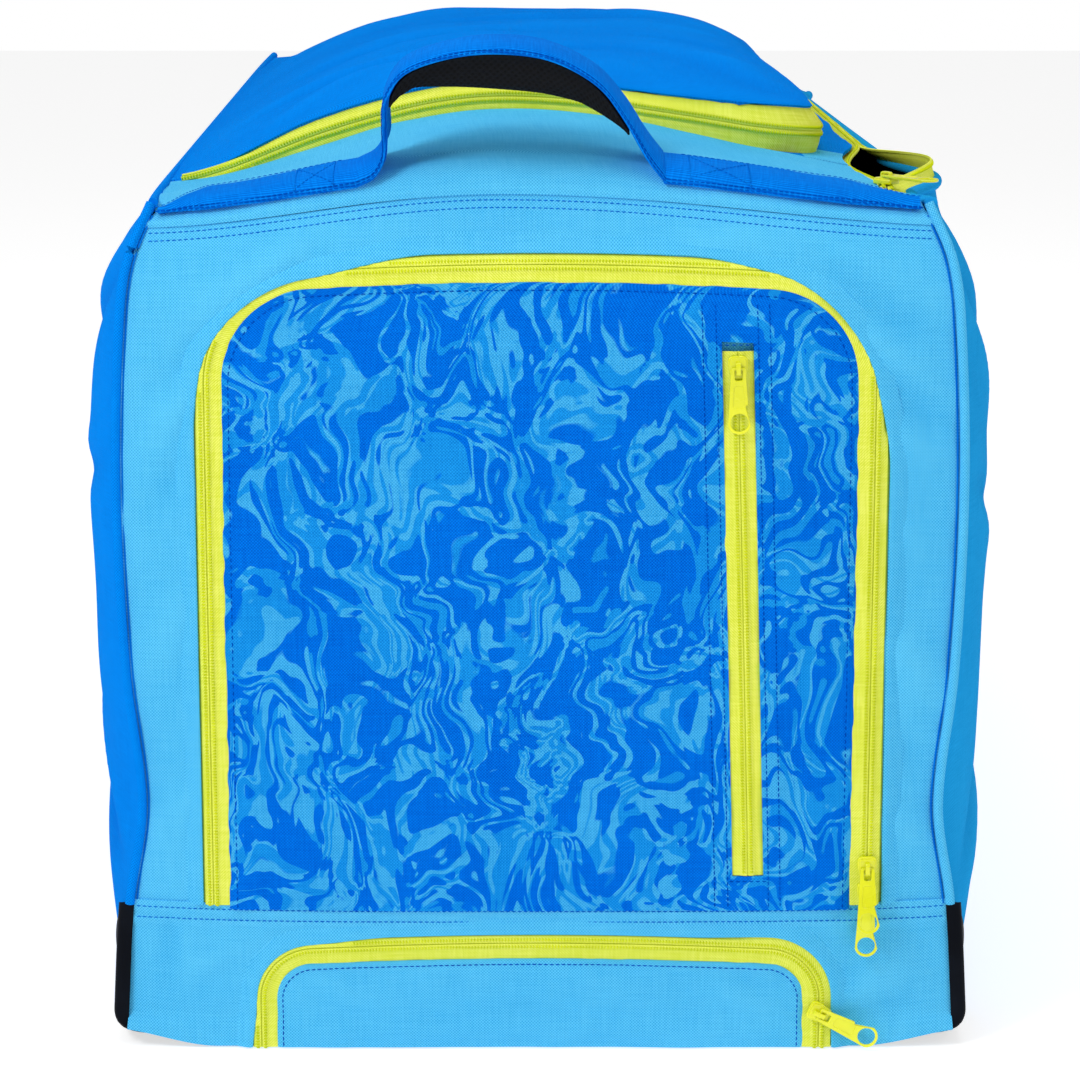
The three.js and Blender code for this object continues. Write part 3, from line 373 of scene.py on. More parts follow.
FOLD_START, FOLD_END = 0.65, 1.25  # shares of a fold's half width where it starts and ends
FOLD_BESIDE, FOLD_TURNED = 1.9, 0.45  # the fold beside it: half widths away, and share of the height
FOLD_EARLY = 0.65  # under 1, a fold is highest before its middle


def drag_lines(a, b, rows):
    """Long soft folds, each with a lower one turned over beside it, widening and fading from start to end.

    Rows: start a, start b, end a, end b, half width, height.
    """
    total = np.zeros(np.broadcast(a, b).shape)
    for a0, b0, a1, b1, wide, high in rows:
        run = np.array([a1 - a0, b1 - b0], float)
        length = math.hypot(*run)
        along = ((a - a0) * run[0] + (b - b0) * run[1]) / length ** 2
        across = ((b - b0) * run[0] - (a - a0) * run[1]) / length
        t = np.clip(along, 0, 1)
        half = wide * mix(FOLD_START, FOLD_END, t)
        beyond = ((along - t) * length / half) ** 2
        fold = np.exp(-((across / half) ** 2) - beyond)
        beside = np.exp(-((across / half - FOLD_BESIDE) ** 2) - beyond)
        fading = np.sin(math.pi * np.clip(t, 0.01, 0.99) ** FOLD_EARLY)
        total = total + high * (fold - FOLD_TURNED * beside) * fading
    return total


print("noise runs from", LATTICE.min().round(2), "to", LATTICE.max().round(2))

# %% [markdown]
# ## Effects that several finishes share
# Every cloth on this bag is woven, and its threads vary a little in thickness and shade. Image textures
# would tie the look to one size of file, so the weave is worked out from the UV map, which is in metres of
# cloth. The two effects are node groups with named inputs, built once and placed in each finish with its
# own values.

# %% Small helpers for node trees
def add(tree, kind, inputs=None, **settings):
    """A node with its settings made and its inputs set or linked, by name or by number."""
    node = tree.nodes.new(kind)
    for name, value in settings.items():
        setattr(node, name, value)
    for name, value in (inputs or {}).items():
        if isinstance(value, bpy.types.NodeSocket):
            tree.links.new(value, node.inputs[name])
        else:
            node.inputs[name].default_value = value
    return node


def maths(tree, operation, *values):
    return add(tree, "ShaderNodeMath", dict(enumerate(values)), operation=operation).outputs[0]


def shader_group(name, inputs, outputs):
    """An empty shader group. Inputs are name, socket kind and default; outputs are name and kind."""
    tree = bpy.data.node_groups.new(name, "ShaderNodeTree")
    for label, kind, default in inputs:
        socket = tree.interface.new_socket(label, in_out="INPUT", socket_type=kind)
        if default is not None:
            socket.default_value = default
    for label, kind in outputs:
        tree.interface.new_socket(label, in_out="OUTPUT", socket_type=kind)
    return tree, tree.nodes.new("NodeGroupInput"), tree.nodes.new("NodeGroupOutput")


FLOAT, VECTOR = "NodeSocketFloat", "NodeSocketVector"

# %% Plain weave: threads that pass over and under each other
weave, given, result = shader_group(
    "plain weave",
    [("Cloth", VECTOR, None), ("Threads per metre", FLOAT, 950.0)],
    [("Height", FLOAT), ("Over", FLOAT)],
)
axes = add(weave, "ShaderNodeSeparateXYZ", {0: given.outputs["Cloth"]})
turns = maths(weave, "MULTIPLY", given.outputs["Threads per metre"], math.pi)
warp, weft = (
    maths(weave, "SINE", maths(weave, "MULTIPLY", axes.outputs[k], turns)) for k in (0, 1)
)
crossing = maths(weave, "MULTIPLY", warp, weft)
weave.links.new(maths(weave, "ABSOLUTE", crossing), result.inputs["Height"])
weave.links.new(maths(weave, "MULTIPLY_ADD", crossing, 0.5, 0.5), result.inputs["Over"])

# %% Uneven threads: streaks along both directions of the cloth, and a slow drift of shade
slub, given, result = shader_group(
    "uneven threads",
    [("Cloth", VECTOR, None), ("Fine", FLOAT, 900.0), ("Long", FLOAT, 45.0), ("Drift", FLOAT, 14.0)],
    [("Shade", FLOAT)],
)
streaks = []
for order in (("Fine", "Long"), ("Long", "Fine")):
    stretch = add(slub, "ShaderNodeCombineXYZ", {k: given.outputs[name] for k, name in enumerate(order)})
    place = add(slub, "ShaderNodeVectorMath", {0: given.outputs["Cloth"], 1: stretch.outputs[0]},
                operation="MULTIPLY")
    streak = add(slub, "ShaderNodeTexNoise", {"Vector": place.outputs[0], "Scale": 1.0, "Detail": 1.0})
    streaks.append(streak.outputs["Fac"])
drift = add(slub, "ShaderNodeTexNoise", {"Vector": given.outputs["Cloth"], "Scale": given.outputs["Drift"],
                                         "Detail": 2.0})
streak_sum = maths(slub, "ADD", *streaks)
shade = maths(slub, "ADD", maths(slub, "MULTIPLY", streak_sum, 0.36),
              maths(slub, "MULTIPLY", drift.outputs["Fac"], 0.28))
slub.links.new(shade, result.inputs["Shade"])
print("shader groups", [g.name for g in bpy.data.node_groups])

# %% [markdown]
# ## Finishes
# Most of the bag is one polyester canvas in two blues, with a darker copy of the light blue on the right side
# for painted shade there. Its colour moves a little with the threads, and the folds carry painted shade in
# their hollows and a painted highlight on their ridges; its bump has the weave in it. One function makes all
# the cloths; the print, the tapes, the webbing and the hard pieces have their own small trees. Numbers that
# are the same all over sit on the shader's own sockets.

# %% A woven cloth in any colour
def srgb(red, green, blue):
    """A colour given on a screen's scale, as the linear colour that shaders use."""
    channel = np.array([red, green, blue]) / 255
    linear = np.where(channel <= 0.04045, channel / 12.92, ((channel + 0.055) / 1.055) ** 2.4)
    return (*linear.tolist(), 1.0)


def new_finish(name, rough, **constants):
    material = bpy.data.materials.new(name)
    material.use_nodes = True
    tree = material.node_tree
    shader = tree.nodes["Principled BSDF"]
    shader.inputs["Roughness"].default_value = rough
    for label, value in constants.items():
        shader.inputs[label.replace("_", " ")].default_value = value
    return material, tree, shader


def bump(tree, shader, height, strength, distance):
    made = add(tree, "ShaderNodeBump", {"Height": height, "Strength": strength, "Distance": distance})
    tree.links.new(made.outputs["Normal"], shader.inputs["Normal"])


def two_tone(tree, factor, dark, light):
    made = add(tree, "ShaderNodeMix", {"Factor": factor}, data_type="RGBA")
    for socket, colour in ((made.inputs[6], dark), (made.inputs[7], light)):
        if isinstance(colour, bpy.types.NodeSocket):
            tree.links.new(colour, socket)
        else:
            socket.default_value = colour
    return made.outputs[2]


def threads_of(tree, per_metre):
    """UV of the cloth, its weave and its uneven threads."""
    cloth = add(tree, "ShaderNodeUVMap", uv_map="cloth").outputs["UV"]
    woven = add(tree, "ShaderNodeGroup", node_tree=weave)
    uneven = add(tree, "ShaderNodeGroup", node_tree=slub)
    tree.links.new(cloth, woven.inputs["Cloth"])
    tree.links.new(cloth, uneven.inputs["Cloth"])
    woven.inputs["Threads per metre"].default_value = per_metre
    return cloth, woven, uneven


FOLD_SHADE = 0.17  # how far a fold's painted shade in its hollow and painted highlight on its ridge move the threads' colour
CANVAS_THREADS = 1150.0  # per metre


def painted_fold_shade(tree):
    """How far the cloth stands up in a fold or sinks, used for a painted highlight on the ridges and painted
    shade in the hollows.
    """
    return add(tree, "ShaderNodeAttribute", attribute_name="slack").outputs["Fac"]


def woven_finish(name, dark, light, per_metre=CANVAS_THREADS, over=0.8, rough=0.78, depth=0.00028):
    material, tree, shader = new_finish(name, rough, IOR=1.03)
    _, woven, uneven = threads_of(tree, per_metre)
    mixed = maths(tree, "ADD", maths(tree, "MULTIPLY", woven.outputs["Over"], over),
                  maths(tree, "MULTIPLY", uneven.outputs["Shade"], 1.45 - over))
    # Painted shade in the folds' hollows and a painted highlight on their ridges
    mixed = maths(tree, "MULTIPLY_ADD", painted_fold_shade(tree), FOLD_SHADE, mixed)
    factor = add(tree, "ShaderNodeMapRange", {0: mixed, 1: 0.32, 2: 1.06}).outputs[0]
    tree.links.new(two_tone(tree, factor, dark, light), shader.inputs["Base Color"])
    raised = maths(tree, "MULTIPLY_ADD", uneven.outputs["Shade"], 0.9, woven.outputs["Height"])
    bump(tree, shader, raised, 0.5, depth)
    return material


light_cloth = woven_finish("light blue canvas", srgb(30, 156, 222), srgb(106, 210, 252))
mid_cloth = woven_finish("mid blue canvas", srgb(0, 104, 210), srgb(6, 150, 252))
# The light blue canvas again, darker: painted shade for the right side, which turns away from the light
painted_shade_side_cloth = woven_finish("light blue canvas darkened for painted side shade", srgb(4, 130, 202), srgb(42, 174, 240))
lining = woven_finish("black lining", srgb(6, 7, 10), srgb(16, 17, 21), per_metre=1400.0, rough=0.7)
print("cloths", [m.name for m in bpy.data.materials if "canvas" in m.name])

# %% [markdown]
# The front pocket has a marbled print in three blues, like the combed ink of old book papers. Marbling is
# what happens when bands of ink are pushed about, and a noise pattern that is pushed about by another
# noise does the same. The bands are cut sharply, as ink is, a second set washes over the pale ones, and
# the threads show in all.

# %% Marbled print
def marbled_finish(name):
    material, tree, shader = new_finish(name, 0.76, IOR=1.03)
    cloth, woven, uneven = threads_of(tree, CANVAS_THREADS)
    push = add(tree, "ShaderNodeTexNoise", {"Vector": cloth, "Scale": 14.0, "Detail": 1.5, "Distortion": 0.9})
    offset = add(tree, "ShaderNodeVectorMath", {0: push.outputs["Color"], 1: (0.5, 0.5, 0.5)},
                 operation="SUBTRACT")
    moved = add(tree, "ShaderNodeVectorMath", {0: offset.outputs[0], 1: (0.08, 0.12, 0.0), 2: cloth},
                operation="MULTIPLY_ADD")
    combed = add(tree, "ShaderNodeMapping", {"Vector": moved.outputs[0], "Rotation": (0, 0, 0.35),
                                             "Scale": (1.25, 0.62, 1.0)})
    ink = add(tree, "ShaderNodeTexNoise", {"Vector": combed.outputs[0], "Scale": 31.0, "Detail": 1.9,
                                           "Roughness": 0.45, "Distortion": 1.3})
    bands = maths(tree, "SINE", maths(tree, "MULTIPLY", ink.outputs["Fac"], 27.0))
    cut = add(tree, "ShaderNodeMapRange", {0: bands, 1: -0.12, 2: 0.14}).outputs[0]
    # Painted shade in the folds' hollows and a painted highlight on their ridges, over the uneven threads
    threads_and_painted_folds = maths(tree, "MULTIPLY_ADD", painted_fold_shade(tree), FOLD_SHADE, uneven.outputs["Shade"])
    crossed = maths(tree, "ADD", maths(tree, "MULTIPLY", woven.outputs["Over"], 0.75), threads_and_painted_folds)
    thread = add(tree, "ShaderNodeMapRange", {0: crossed, 1: 0.45, 2: 1.3}).outputs[0]
    wash = add(tree, "ShaderNodeTexNoise", {"Vector": combed.outputs[0], "Scale": 22.0, "Detail": 2.2,
                                            "Roughness": 0.5, "Distortion": 2.0})
    veins = maths(tree, "SINE", maths(tree, "MULTIPLY", wash.outputs["Fac"], 33.0))
    fine = add(tree, "ShaderNodeMapRange", {0: veins, 1: 0.05, 2: 0.5}).outputs[0]
    deep = two_tone(tree, thread, srgb(0, 78, 192), srgb(4, 128, 242))
    pale = two_tone(tree, thread, srgb(2, 112, 204), srgb(34, 164, 244))
    palest = two_tone(tree, thread, srgb(14, 136, 210), srgb(84, 194, 248))
    tree.links.new(two_tone(tree, cut, deep, two_tone(tree, fine, pale, palest)), shader.inputs["Base Color"])
    raised = maths(tree, "MULTIPLY_ADD", uneven.outputs["Shade"], 0.9, woven.outputs["Height"])
    bump(tree, shader, raised, 0.5, 0.00028)
    return material


marbled_cloth = marbled_finish("marbled print canvas")
print("print", marbled_cloth.name)

# %% [markdown]
# Zip tape is a fine twill: its ribs run at a slant. Webbing is the other way about, with strong ribs
# across its width. Both are one sine of the UV map, at different slants, so one function makes both.

# %% Tape and webbing
def ribbed_finish(name, dark, light, across, along, strength, rough, depth):
    """Cloth with ribs: "across" and "along" are ribs per metre each way."""
    material, tree, shader = new_finish(name, rough, IOR=1.05)
    cloth, woven, uneven = threads_of(tree, 1300.0)
    slant = add(tree, "ShaderNodeVectorMath", {0: cloth, 1: (across, along, 0.0)}, operation="DOT_PRODUCT")
    rib = maths(tree, "SINE", maths(tree, "MULTIPLY", slant.outputs["Value"], 2 * math.pi))
    raised = maths(tree, "MULTIPLY_ADD", rib, strength, uneven.outputs["Shade"])
    factor = add(tree, "ShaderNodeMapRange", {0: raised, 1: 0.5 - strength, 2: 0.55 + strength}).outputs[0]
    tree.links.new(two_tone(tree, factor, dark, light), shader.inputs["Base Color"])
    bump(tree, shader, maths(tree, "MULTIPLY_ADD", woven.outputs["Height"], 0.3, raised), 0.5, depth)
    return material


tape_yellow = ribbed_finish("yellow zip tape", srgb(214, 224, 58), srgb(241, 246, 114), 620.0, 620.0, 0.14,
                            0.7, 0.00022)
webbing_blue = ribbed_finish("blue webbing", srgb(0, 100, 206), srgb(4, 138, 242), 620.0, 30.0, 0.17, 0.72,
                             0.0003)
print("tapes", tape_yellow.name, webbing_blue.name)

# %% [markdown]
# The hard pieces are moulded plastic with a fine grain, painted zip metal, rubber and steel. None of them
# is one flat colour: grain and a little dust in random patches change the shade. These read Object
# coordinates, because a moulding has no cloth direction.

# %% Moulded, painted and turned finishes
grain, given, result = shader_group(
    "moulded grain",
    [("Place", VECTOR, None), ("Grain per metre", FLOAT, 1500.0), ("Dust per metre", FLOAT, 28.0)],
    [("Height", FLOAT), ("Dust", FLOAT)],
)
pebbles = add(grain, "ShaderNodeTexVoronoi", {"Vector": given.outputs["Place"],
                                              "Scale": given.outputs["Grain per metre"]})
dusty = add(grain, "ShaderNodeTexNoise", {"Vector": given.outputs["Place"],
                                          "Scale": given.outputs["Dust per metre"], "Detail": 5.0})
grain.links.new(pebbles.outputs["Distance"], result.inputs["Height"])
grain.links.new(add(grain, "ShaderNodeMapRange", {0: dusty.outputs["Fac"], 1: 0.42, 2: 0.72}).outputs[0],
                result.inputs["Dust"])


def moulded_finish(name, clean, dusted, rough, depth, grains=1500.0, **constants):
    material, tree, shader = new_finish(name, rough, **constants)
    place = add(tree, "ShaderNodeTexCoord").outputs["Object"]
    moulded = add(tree, "ShaderNodeGroup", node_tree=grain)
    tree.links.new(place, moulded.inputs["Place"])
    moulded.inputs["Grain per metre"].default_value = grains
    tree.links.new(two_tone(tree, moulded.outputs["Dust"], clean, dusted), shader.inputs["Base Color"])
    worn = add(tree, "ShaderNodeMapRange", {0: moulded.outputs["Dust"], 3: rough - 0.08, 4: rough + 0.1})
    tree.links.new(worn.outputs[0], shader.inputs["Roughness"])
    bump(tree, shader, moulded.outputs["Height"], 0.3, depth)
    return material


black_plastic = moulded_finish("black moulded plastic", srgb(10, 13, 20), srgb(20, 24, 32), 0.6, 0.0002,
                               IOR=1.12)
wheel_plastic = moulded_finish("grey wheel plastic", srgb(44, 46, 50), srgb(62, 64, 68), 0.45, 0.00015)
wheel_rubber = moulded_finish("wheel rubber", srgb(20, 20, 22), srgb(44, 43, 42), 0.75, 0.0003, 900.0)
axle_steel = moulded_finish("axle steel", srgb(168, 172, 176), srgb(196, 199, 202), 0.32, 0.00004,
                            Metallic=1.0)
pull_paint = moulded_finish("yellow zip paint", srgb(226, 228, 4), srgb(244, 244, 20), 0.34, 0.00005,
                            Coat_Weight=0.4, Coat_Roughness=0.2)
coil_yellow = moulded_finish("yellow zip coil", srgb(196, 208, 0), srgb(224, 232, 10), 0.55, 0.0001, IOR=1.2)
blue_thread = moulded_finish("blue thread", srgb(2, 104, 204), srgb(12, 128, 222), 0.8, 0.0001, IOR=1.03)
navy_thread = moulded_finish("navy thread", srgb(0, 72, 176), srgb(2, 94, 206), 0.8, 0.0001, IOR=1.03)
print("hard finishes", black_plastic.name, pull_paint.name)

# %% [markdown]
# ## Stitches and zip teeth along a path
# A bag is held together by thousands of stitches, and each zip has hundreds of teeth. They could be copied
# by hand-written loops, but they all do the same thing: stand at an even pitch along a path and lean with
# it. One Geometry Nodes tree does that. A piece starts as bare edges with the outward direction stored on
# each point, and the tree turns the edges into curves, spaces the points, and sets one small rounded grain
# on each.

# %% A tree that sets grains along runs of edges
def along_tree(name, faces):
    """Runs of edges in, grains out. "faces" is how finely one grain is divided."""
    tree = bpy.data.node_groups.new(name, "GeometryNodeTree")
    tree.interface.new_socket("Geometry", in_out="INPUT", socket_type="NodeSocketGeometry")
    for label, kind in (("Pitch", "NodeSocketFloat"), ("Size", "NodeSocketVector"),
                        ("Finish", "NodeSocketMaterial")):
        tree.interface.new_socket(label, in_out="INPUT", socket_type=kind)
    tree.interface.new_socket("Geometry", in_out="OUTPUT", socket_type="NodeSocketGeometry")
    given = tree.nodes.new("NodeGroupInput").outputs
    curve = add(tree, "GeometryNodeMeshToCurve", {"Mesh": given["Geometry"]})
    spaced = add(tree, "GeometryNodeResampleCurve", {"Curve": curve.outputs[0], "Length": given["Pitch"]},
                 mode="LENGTH")
    outward = add(tree, "GeometryNodeInputNamedAttribute", {"Name": "outward"}, data_type="FLOAT_VECTOR")
    tangent = add(tree, "GeometryNodeInputTangent")
    upright = add(tree, "FunctionNodeAlignRotationToVector", {"Vector": outward.outputs[0]}, axis="Z")
    leaning = add(tree, "FunctionNodeAlignRotationToVector",
                  {"Rotation": upright.outputs[0], "Vector": tangent.outputs[0]}, axis="X", pivot_axis="Z")
    one = add(tree, "GeometryNodeMeshIcoSphere", {"Radius": 0.5, "Subdivisions": faces})
    soft = add(tree, "GeometryNodeSetShadeSmooth", {"Geometry": one.outputs["Mesh"]})
    many = add(tree, "GeometryNodeInstanceOnPoints", {
        "Points": spaced.outputs[0], "Instance": soft.outputs[0], "Rotation": leaning.outputs[0],
        "Scale": given["Size"],
    })
    real = add(tree, "GeometryNodeRealizeInstances", {"Geometry": many.outputs[0]})
    done = add(tree, "GeometryNodeSetMaterial", {"Geometry": real.outputs[0], "Material": given["Finish"]})
    tree.links.new(done.outputs[0], tree.nodes.new("NodeGroupOutput").inputs[0])
    return tree


STITCH_TREE = along_tree("grains along runs", 1)
print("tree", STITCH_TREE.name, len(STITCH_TREE.nodes), "nodes")


# %% Pieces made of grains
def plain_mesh(piece):
    """The evaluated result of a piece as its own mesh, with no modifier left."""
    bpy.context.view_layer.update()
    made = bpy.data.meshes.new_from_object(piece.evaluated_get(bpy.context.evaluated_depsgraph_get()))
    piece.modifiers.clear()
    made.name = piece.name
    piece.data = made
    return piece


def along_runs(name, runs, pitch, size, finish):
    """Grains along runs, each a pair of points and outward directions. Pitch and size are in millimetres:
    the size is along the run, across it, and high."""
    counts = [len(points) for points, _ in runs]
    starts = np.concatenate([[0], np.cumsum(counts)[:-1]])
    edges = [(s + k, s + k + 1) for s, n in zip(starts, counts) for k in range(n - 1)]
    mesh = bpy.data.meshes.new(name)
    mesh.from_pydata(to_row(np.concatenate([points for points, _ in runs])).tolist(), edges, [])
    outward = mesh.attributes.new("outward", "FLOAT_VECTOR", "POINT")
    outward.data.foreach_set("vector", np.concatenate([out for _, out in runs]).astype(np.float32).ravel())
    piece = bpy.data.objects.new(name, mesh)
    bpy.context.scene.collection.objects.link(piece)
    modifier = piece.modifiers.new("grains", "NODES")
    modifier.node_group = STITCH_TREE
    values = {"Pitch": pitch * MM, "Size": tuple(s * MM for s in size), "Finish": finish}
    for item in STITCH_TREE.interface.items_tree:
        if item.in_out == "INPUT" and item.name in values:
            modifier[item.identifier] = values[item.name]
    plain_mesh(piece)
    print(name, len(runs), "runs", len(piece.data.polygons), "faces")
    return settle(piece)


STITCH_PITCH, STITCH_SIZE = 3.2, (2.7, 0.75, 0.55)


def run_on(points, outward, lift=0.15):
    """A run that lies on a surface: its points stand off by "lift"."""
    outs = np.broadcast_to(np.asarray(outward, float), np.shape(points))
    return np.asarray(points, float) + unit(outs) * lift, unit(outs)


# %% [markdown]
# ## The handle end
# The end panel, the lower panel under its seam, and the yoke that rolls over the top edge are three cuts
# of the same light-blue canvas. The end panel is one smooth bulge with slow waves, drag lines from the
# pocket's corners towards the yoke, and puckers along the piping. The lower panel laps over it with two
# rows of stitches.

# %% End panels
POCKET = {"half": 171.0, "top": 424.0, "radius": 48.0, "crown": 7.0, "pillow": 5.0,
          "foot": LOWER_SEAM_Z + GAP}
ARCH = {"half": 146.0, "top": 50.0, "radius": 20.0, "crown": 5.0, "pillow": 3.0, "foot": BASE_TOP + GAP}
FRONT, BACK, UP = (0, -1, 0), (0, 1, 0), (0, 0, 1)


def inside_arch(shape, x, z):
    """Distance in from the edge of an inverted U; negative outside it."""
    lift = shape["crown"] * (1 - (x / shape["half"]) ** 2) * ease(z, shape["foot"], shape["top"])
    side = np.abs(x) - (shape["half"] - shape["radius"])
    over = z - lift - (shape["top"] - shape["radius"])
    corner = np.hypot(np.maximum(side, 0), np.maximum(over, 0)) + np.minimum(np.maximum(side, over), 0)
    return shape["radius"] - corner


def end_panel(end, low_z, high_z, u, v):
    middle = 2 * u - 1
    x = middle * (seam_half(mix(low_z, YOKE_SEAM_Z, v)) - SEAM_TUCK)
    z = mix(low_z, high_z(x), v)
    x = middle * (seam_half(z) - SEAM_TUCK)
    return stack(x, end * panel_y(x, z), z)


FRONT_DRAGS = [  # start x, start z, end x, end z, half width, height
    (-120, 452, -200, 402, 10, 2.3), (-166, 410, -214, 364, 8, -1.7), (-186, 374, -218, 328, 9, 2.0),
    (-190, 334, -216, 292, 8, -1.5), (-190, 262, -220, 206, 13, 1.9), (-188, 152, -216, 110, 11, 1.7),
    (60, 446, 150, 458, 9, 1.3), (152, 440, 208, 396, 9, -2.1), (168, 406, 218, 372, 9, 2.3),
    (184, 382, 222, 342, 8, -1.7), (186, 354, 222, 326, 9, 1.7), (190, 240, 220, 186, 12, 1.9),
    (194, 300, 214, 276, 9, 1.2), (190, 138, 218, 102, 11, 1.7), (196, 180, 214, 150, 8, -1.3),
]


def front_relief(x, z):
    slack = (
        waves(x, z, 1.0, 1) + drag_lines(x, z, FRONT_DRAGS)
        + puckers(seam_half(z) - np.abs(x), z, 0.6, 6, 3, 15.0)
        + puckers(yoke_seam_z(x) - z, x, 0.5, 6, 4, 14.0)
    )
    return slack * ease(yoke_seam_z(x) - z, -1, 10)


u, v = grid(112, 128)
points = end_panel(-1, LOWER_SEAM_Z - 2, yoke_seam_z, u, v)
sheet_piece("end_panel_cloth", points, FRONT, [light_cloth, lining], ["front_panel"],
            relief=front_relief(points[..., 0], points[..., 2]))

# %% Lower panel, lapped over the end panel at its seam
# How high the hem is, and its rise towards the corners over a run of x; how far ahead it hangs, fading out
# over a run of heights; and the height over which the pocket's flap is drawn down to it
HEM = {"low": 1.2, "rise": 10.0, "from": 180.0, "to": 240.0, "ahead": 473.6, "over": (12.0, 21.0),
       "flap": 18.0}


def apron(x, z):
    """How far the cloth stands forward to hang over the edge of the base."""
    return np.maximum(HEM["ahead"] - panel_y(x, z), 0) * (1 - ease(z, *HEM["over"]))


def lower_panel(u, v, top=LOWER_SEAM_Z + 1.5):
    middle = 2 * u - 1
    hem = HEM["low"] + HEM["rise"] * ease(np.abs(middle) * seam_half(BASE_TOP), HEM["from"], HEM["to"])
    z = mix(hem, top, v)
    x = middle * (seam_half(z) - SEAM_TUCK)
    return stack(x, -panel_y(x, z) - apron(x, z), z)


LOWER_DRAGS = [(172, 26, 204, 58, 9, 1.9), (-168, 58, -212, 36, 7, 1.1), (186, 22, 220, 30, 7, -1.2),
               (-204, 78, -209, 18, 7, -1.9), (160, 70, 190, 76, 6, 0.9)]
SEAM_LAP, LAP_RUN, LAP_END = 1.1, 9.0, 15.0
LAP_GROOVE = {"deep": 0.7, "at": 6.7, "half": 1.6}  # a dip just above the lower row of stitches


def lower_relief(x, z):
    below = LOWER_SEAM_Z - z
    groove = LAP_GROOVE["deep"] * np.exp(-((below - LAP_GROOVE["at"]) / LAP_GROOVE["half"]) ** 2)
    lap = SEAM_LAP * (1 - ease(below, LAP_RUN, LAP_END)) - groove
    slack = waves(x, z, 0.7, 7, 60.0) * ease(below, 2, 14) + drag_lines(x, z, LOWER_DRAGS)
    return lap + slack + puckers(below, x, 0.4, 7, 8, 12.0)


u, v = grid(52, 150)
points = lower_panel(u, v)
sheet_piece("lower_panel_cloth", points, FRONT, [light_cloth, lining], ["front_lower_panel"],
            relief=lower_relief(points[..., 0], points[..., 2]))

# %% [markdown]
# The yoke starts at the end panel's seam, turns over the shoulder on an even curve, and runs back to the
# lid. The top panel does the same at the far end, so one function gives both, for any x across the bag.

# %% Yoke and top panel
SHOULDER_SHARE, CORNER_AT = 0.5, 0.42


def over_top(end, stop_y, x, v):
    """The top of the bag at one end: v runs from the end seam over the shoulder, then level to stop_y."""
    w = np.clip(v / SHOULDER_SHARE, 0, 1)
    run = np.clip((v - SHOULDER_SHARE) / (1 - SHOULDER_SHARE), 0, 1)
    seam, high = yoke_seam_z(x), top_z(x, end * SHOULDER_Y)
    start_y = end * panel_y(x, seam)
    y = start_y + (end * SHOULDER_Y - start_y) * w * w
    z = seam + (high - seam) * (1 - (1 - w) ** 2)
    level_y = mix(end * SHOULDER_Y, stop_y, run)
    return stack(x, np.where(run > 0, level_y, y), np.where(run > 0, top_z(x, level_y), z))


def over_edges(end, stop_y, v):
    """Left and right edge of that top at each v."""
    w = np.clip(v / SHOULDER_SHARE, 0, 1)
    run = np.clip((v - SHOULDER_SHARE) / (1 - SHOULDER_SHARE), 0, 1)
    seam_x, corner_x = seam_half(YOKE_SEAM_Z) - SEAM_TUCK, seam_half(SIDE_TOP) - SEAM_TUCK
    y = mix(end * SHOULDER_Y, stop_y, run)
    found = []
    for edge in (top_left, top_right):
        shoulder = np.where(
            w < CORNER_AT, mix(seam_x, corner_x, w / CORNER_AT),
            mix(corner_x, np.abs(edge(end * SHOULDER_Y)), (w - CORNER_AT) / (1 - CORNER_AT)))
        sign = -1 if edge is top_left else 1
        found.append(np.where(run > 0, edge(y), sign * shoulder))
    return found


def top_piece(name, end, stop_y, rows, cols, material, node, relief_of):
    u, v = grid(rows, cols)
    left, right = over_edges(end, stop_y, v)
    points = over_top(end, stop_y, mix(left, right, u), v)
    return sheet_piece(name, points, UP if end > 0 else (0, -0.5, 1), [material, lining], [node],
                       relief=relief_of(points[..., 0], points[..., 1], u, v))


def yoke_relief(x, y, u, v):
    lap = 0.9 * (1 - ease(v, 0.05, 0.12))
    edges = np.minimum(u, 1 - u) * 420
    return lap + waves(x, y * 1.4, 1.1, 12, 70.0) * ease(v, 0.02, 0.3) + puckers(edges, y, 0.7, 9, 14)


top_piece("yoke_cloth", -1, YOKE_END_Y, 60, 130, light_cloth, "yoke", yoke_relief)
top = top_piece("top_cloth", 1, YOKE_END_Y + 1, 130, 64, mid_cloth, "top_panel",
                lambda x, y, u, v: waves(x, y, 1.3, 16) * ease(v, 0.0, 0.1))
LIGHT_CORNER = to_row([150.0, -290.0, 0.0])  # the yoke's cloth runs on beside the lid's corner
top.data.materials.append(light_cloth)
for face in top.data.polygons:
    if face.material_index == 0 and face.center.x > LIGHT_CORNER[0] and face.center.y < LIGHT_CORNER[1]:
        face.material_index = 2

# %% [markdown]
# ## Sides and back
# The left side is a plain swelling wall. The right side does the same, but at the top it rolls over to the
# main zip. The back is the far end's bulge with two wells cut out for the wheels: the columns and rows of
# its grid run exactly along the wells, and the cells inside them are left out.

# %% Left and right sides
def side_point(sign, y, height):
    lift = (edge_z(y) - SIDE_TOP) * (height - BASE_TOP) / (SIDE_TOP - BASE_TOP)
    return stack(sign * side_x(y, height), y, height + lift)


def side_station(u, height):
    return (2 * u - 1) * (seam_y(height) - SEAM_TUCK)


SIDE_DRAGS = [  # start y, start z, end y, end z, half width, height
    (-452, 436, -150, 262, 14, -4.6), (-450, 330, -240, 268, 11, -2.6), (-450, 96, -180, 228, 14, -4.4),
    (452, 436, 170, 258, 15, -4.8), (450, 320, 270, 250, 11, -2.6), (450, 92, 180, 222, 14, -4.4),
    (-190, 458, -70, 262, 13, -4.0), (52, 460, -40, 276, 15, -4.2), (240, 456, 110, 290, 13, -3.8),
    (-226, 18, -90, 172, 12, -3.8), (18, 18, 112, 184, 14, -4.0), (226, 18, 132, 190, 12, -3.6),
    (-130, 206, 116, 276, 19, -3.0), (-340, 244, -180, 214, 16, -2.4),
]


